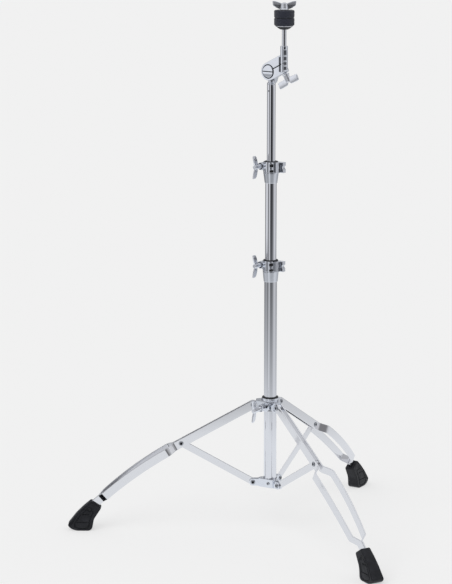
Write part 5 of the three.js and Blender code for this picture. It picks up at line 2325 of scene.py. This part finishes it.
    def lay_floor(self) -> None:
        """Lays the pale floor, a hair under the feet."""
        form = rod(self.floor_radius / MM, self.floor_low, self.floor_high, self.floor_segments)
        form.transform(Matrix.Scale(MM, 4))
        floor = object_of(form, "floor")
        surface = bpy.data.materials.new("paper_floor")
        tree = emptied(surface)
        paper = add(tree, "BsdfDiffuse", {"Color": linear(self.floor_colour)})
        glow = add(tree, "Emission", {"Color": self.floor_seen(tree), "Strength": 1.0})
        path = add(tree, "LightPath")
        mixed = add(tree, "MixShader", {
            0: self.mirror_ray(tree, path), 1: paper.outputs[0], 2: glow.outputs[0],
        })
        seen = path.outputs["Is Camera Ray"]
        shown = add(tree, "Math", {0: seen, 1: self.floor_glow}, operation="MULTIPLY")
        plain = add(tree, "Emission", {"Color": linear(self.floor_colour), "Strength": 1.0})
        lit = add(tree, "MixShader", {
            0: shown.outputs[0], 1: mixed.outputs[0], 2: plain.outputs[0],
        })
        add(tree, "OutputMaterial", {"Surface": lit.outputs[0]})
        floor.data.materials.append(surface)

    def light(self) -> None:
        """Lights the studio evenly, with one soft key from the upper left."""
        self.surround()
        data = bpy.data.lights.new("key", "SUN")
        data.energy = self.key_energy
        data.angle = radians(self.key_size)
        key = bpy.data.objects.new("key", data)
        key.rotation_euler = (*map(radians, self.key_turn), 0)
        key.visible_glossy = False
        bpy.context.scene.collection.objects.link(key)

    def surround(self) -> None:
        """Makes the world: plain to the camera, banded to chrome, and an even sky to the rest."""
        world = bpy.data.worlds.new("studio")
        bpy.context.scene.world = world
        tree = emptied(world)
        way = add(tree, "TexCoord").outputs["Generated"]
        rise = add(tree, "SeparateXYZ", {"Vector": way}).outputs["Z"]
        start, end = self.overhead_rise
        overhead = add(tree, "MapRange", {
            "Value": rise, "From Min": start, "From Max": end,
        }, interpolation_type="SMOOTHSTEP")
        least = self.least_wall
        wall = add(tree, "Mix", {
            0: 1.0, 6: self.mirrored(tree, way, self.bands),
            7: (least, least, least * self.wall_blue, 1),
        }, data_type="RGBA", blend_type="LIGHTEN")
        seen = add(tree, "Mix", {
            0: overhead.outputs["Result"], 6: wall.outputs[2], 7: (*self.overhead, 1),
        }, data_type="RGBA")
        mirrored = add(tree, "Background", {"Color": seen.outputs[2], "Strength": 1.0})
        plain = add(tree, "Background", {"Color": linear(self.floor_colour), "Strength": 1.0})
        even = add(tree, "Background", {"Color": (1, 1, 1, 1), "Strength": self.sky})
        path = add(tree, "LightPath")
        glossy = add(tree, "MixShader", {
            0: self.mirror_ray(tree, path), 1: even.outputs[0], 2: mirrored.outputs[0],
        })
        camera = add(tree, "MixShader", {
            0: path.outputs["Is Camera Ray"], 1: glossy.outputs[0], 2: plain.outputs[0],
        })
        add(tree, "OutputWorld", {"Surface": camera.outputs[0]})


def main() -> None:
    """Builds the stand's sub-assemblies in order, then the studio."""
    logging.basicConfig(level=logging.INFO, format="%(name)s: %(message)s")
    linkage = Linkage()
    for name, angle in LEG_ANGLES.items():
        Leg(name, angle, linkage).build()
    Collar(linkage).build()
    Hub(linkage).build()
    Tube("base_tube", BASE_TUBE).build()
    Tube("middle_tube", MIDDLE_TUBE).build()
    Tube("upper_tube", UPPER_TUBE).build()
    Clamp("lower", BASE_TUBE, MIDDLE_TUBE, ring=18.0).build()
    Clamp("upper", MIDDLE_TUBE, UPPER_TUBE, ring=17.4, bushing_lip=0.6).build()
    tilter = Tilter()
    tilter.build()
    CymbalRod(tilter).build()
    Studio().build()


if __name__ == "__main__":
    main()
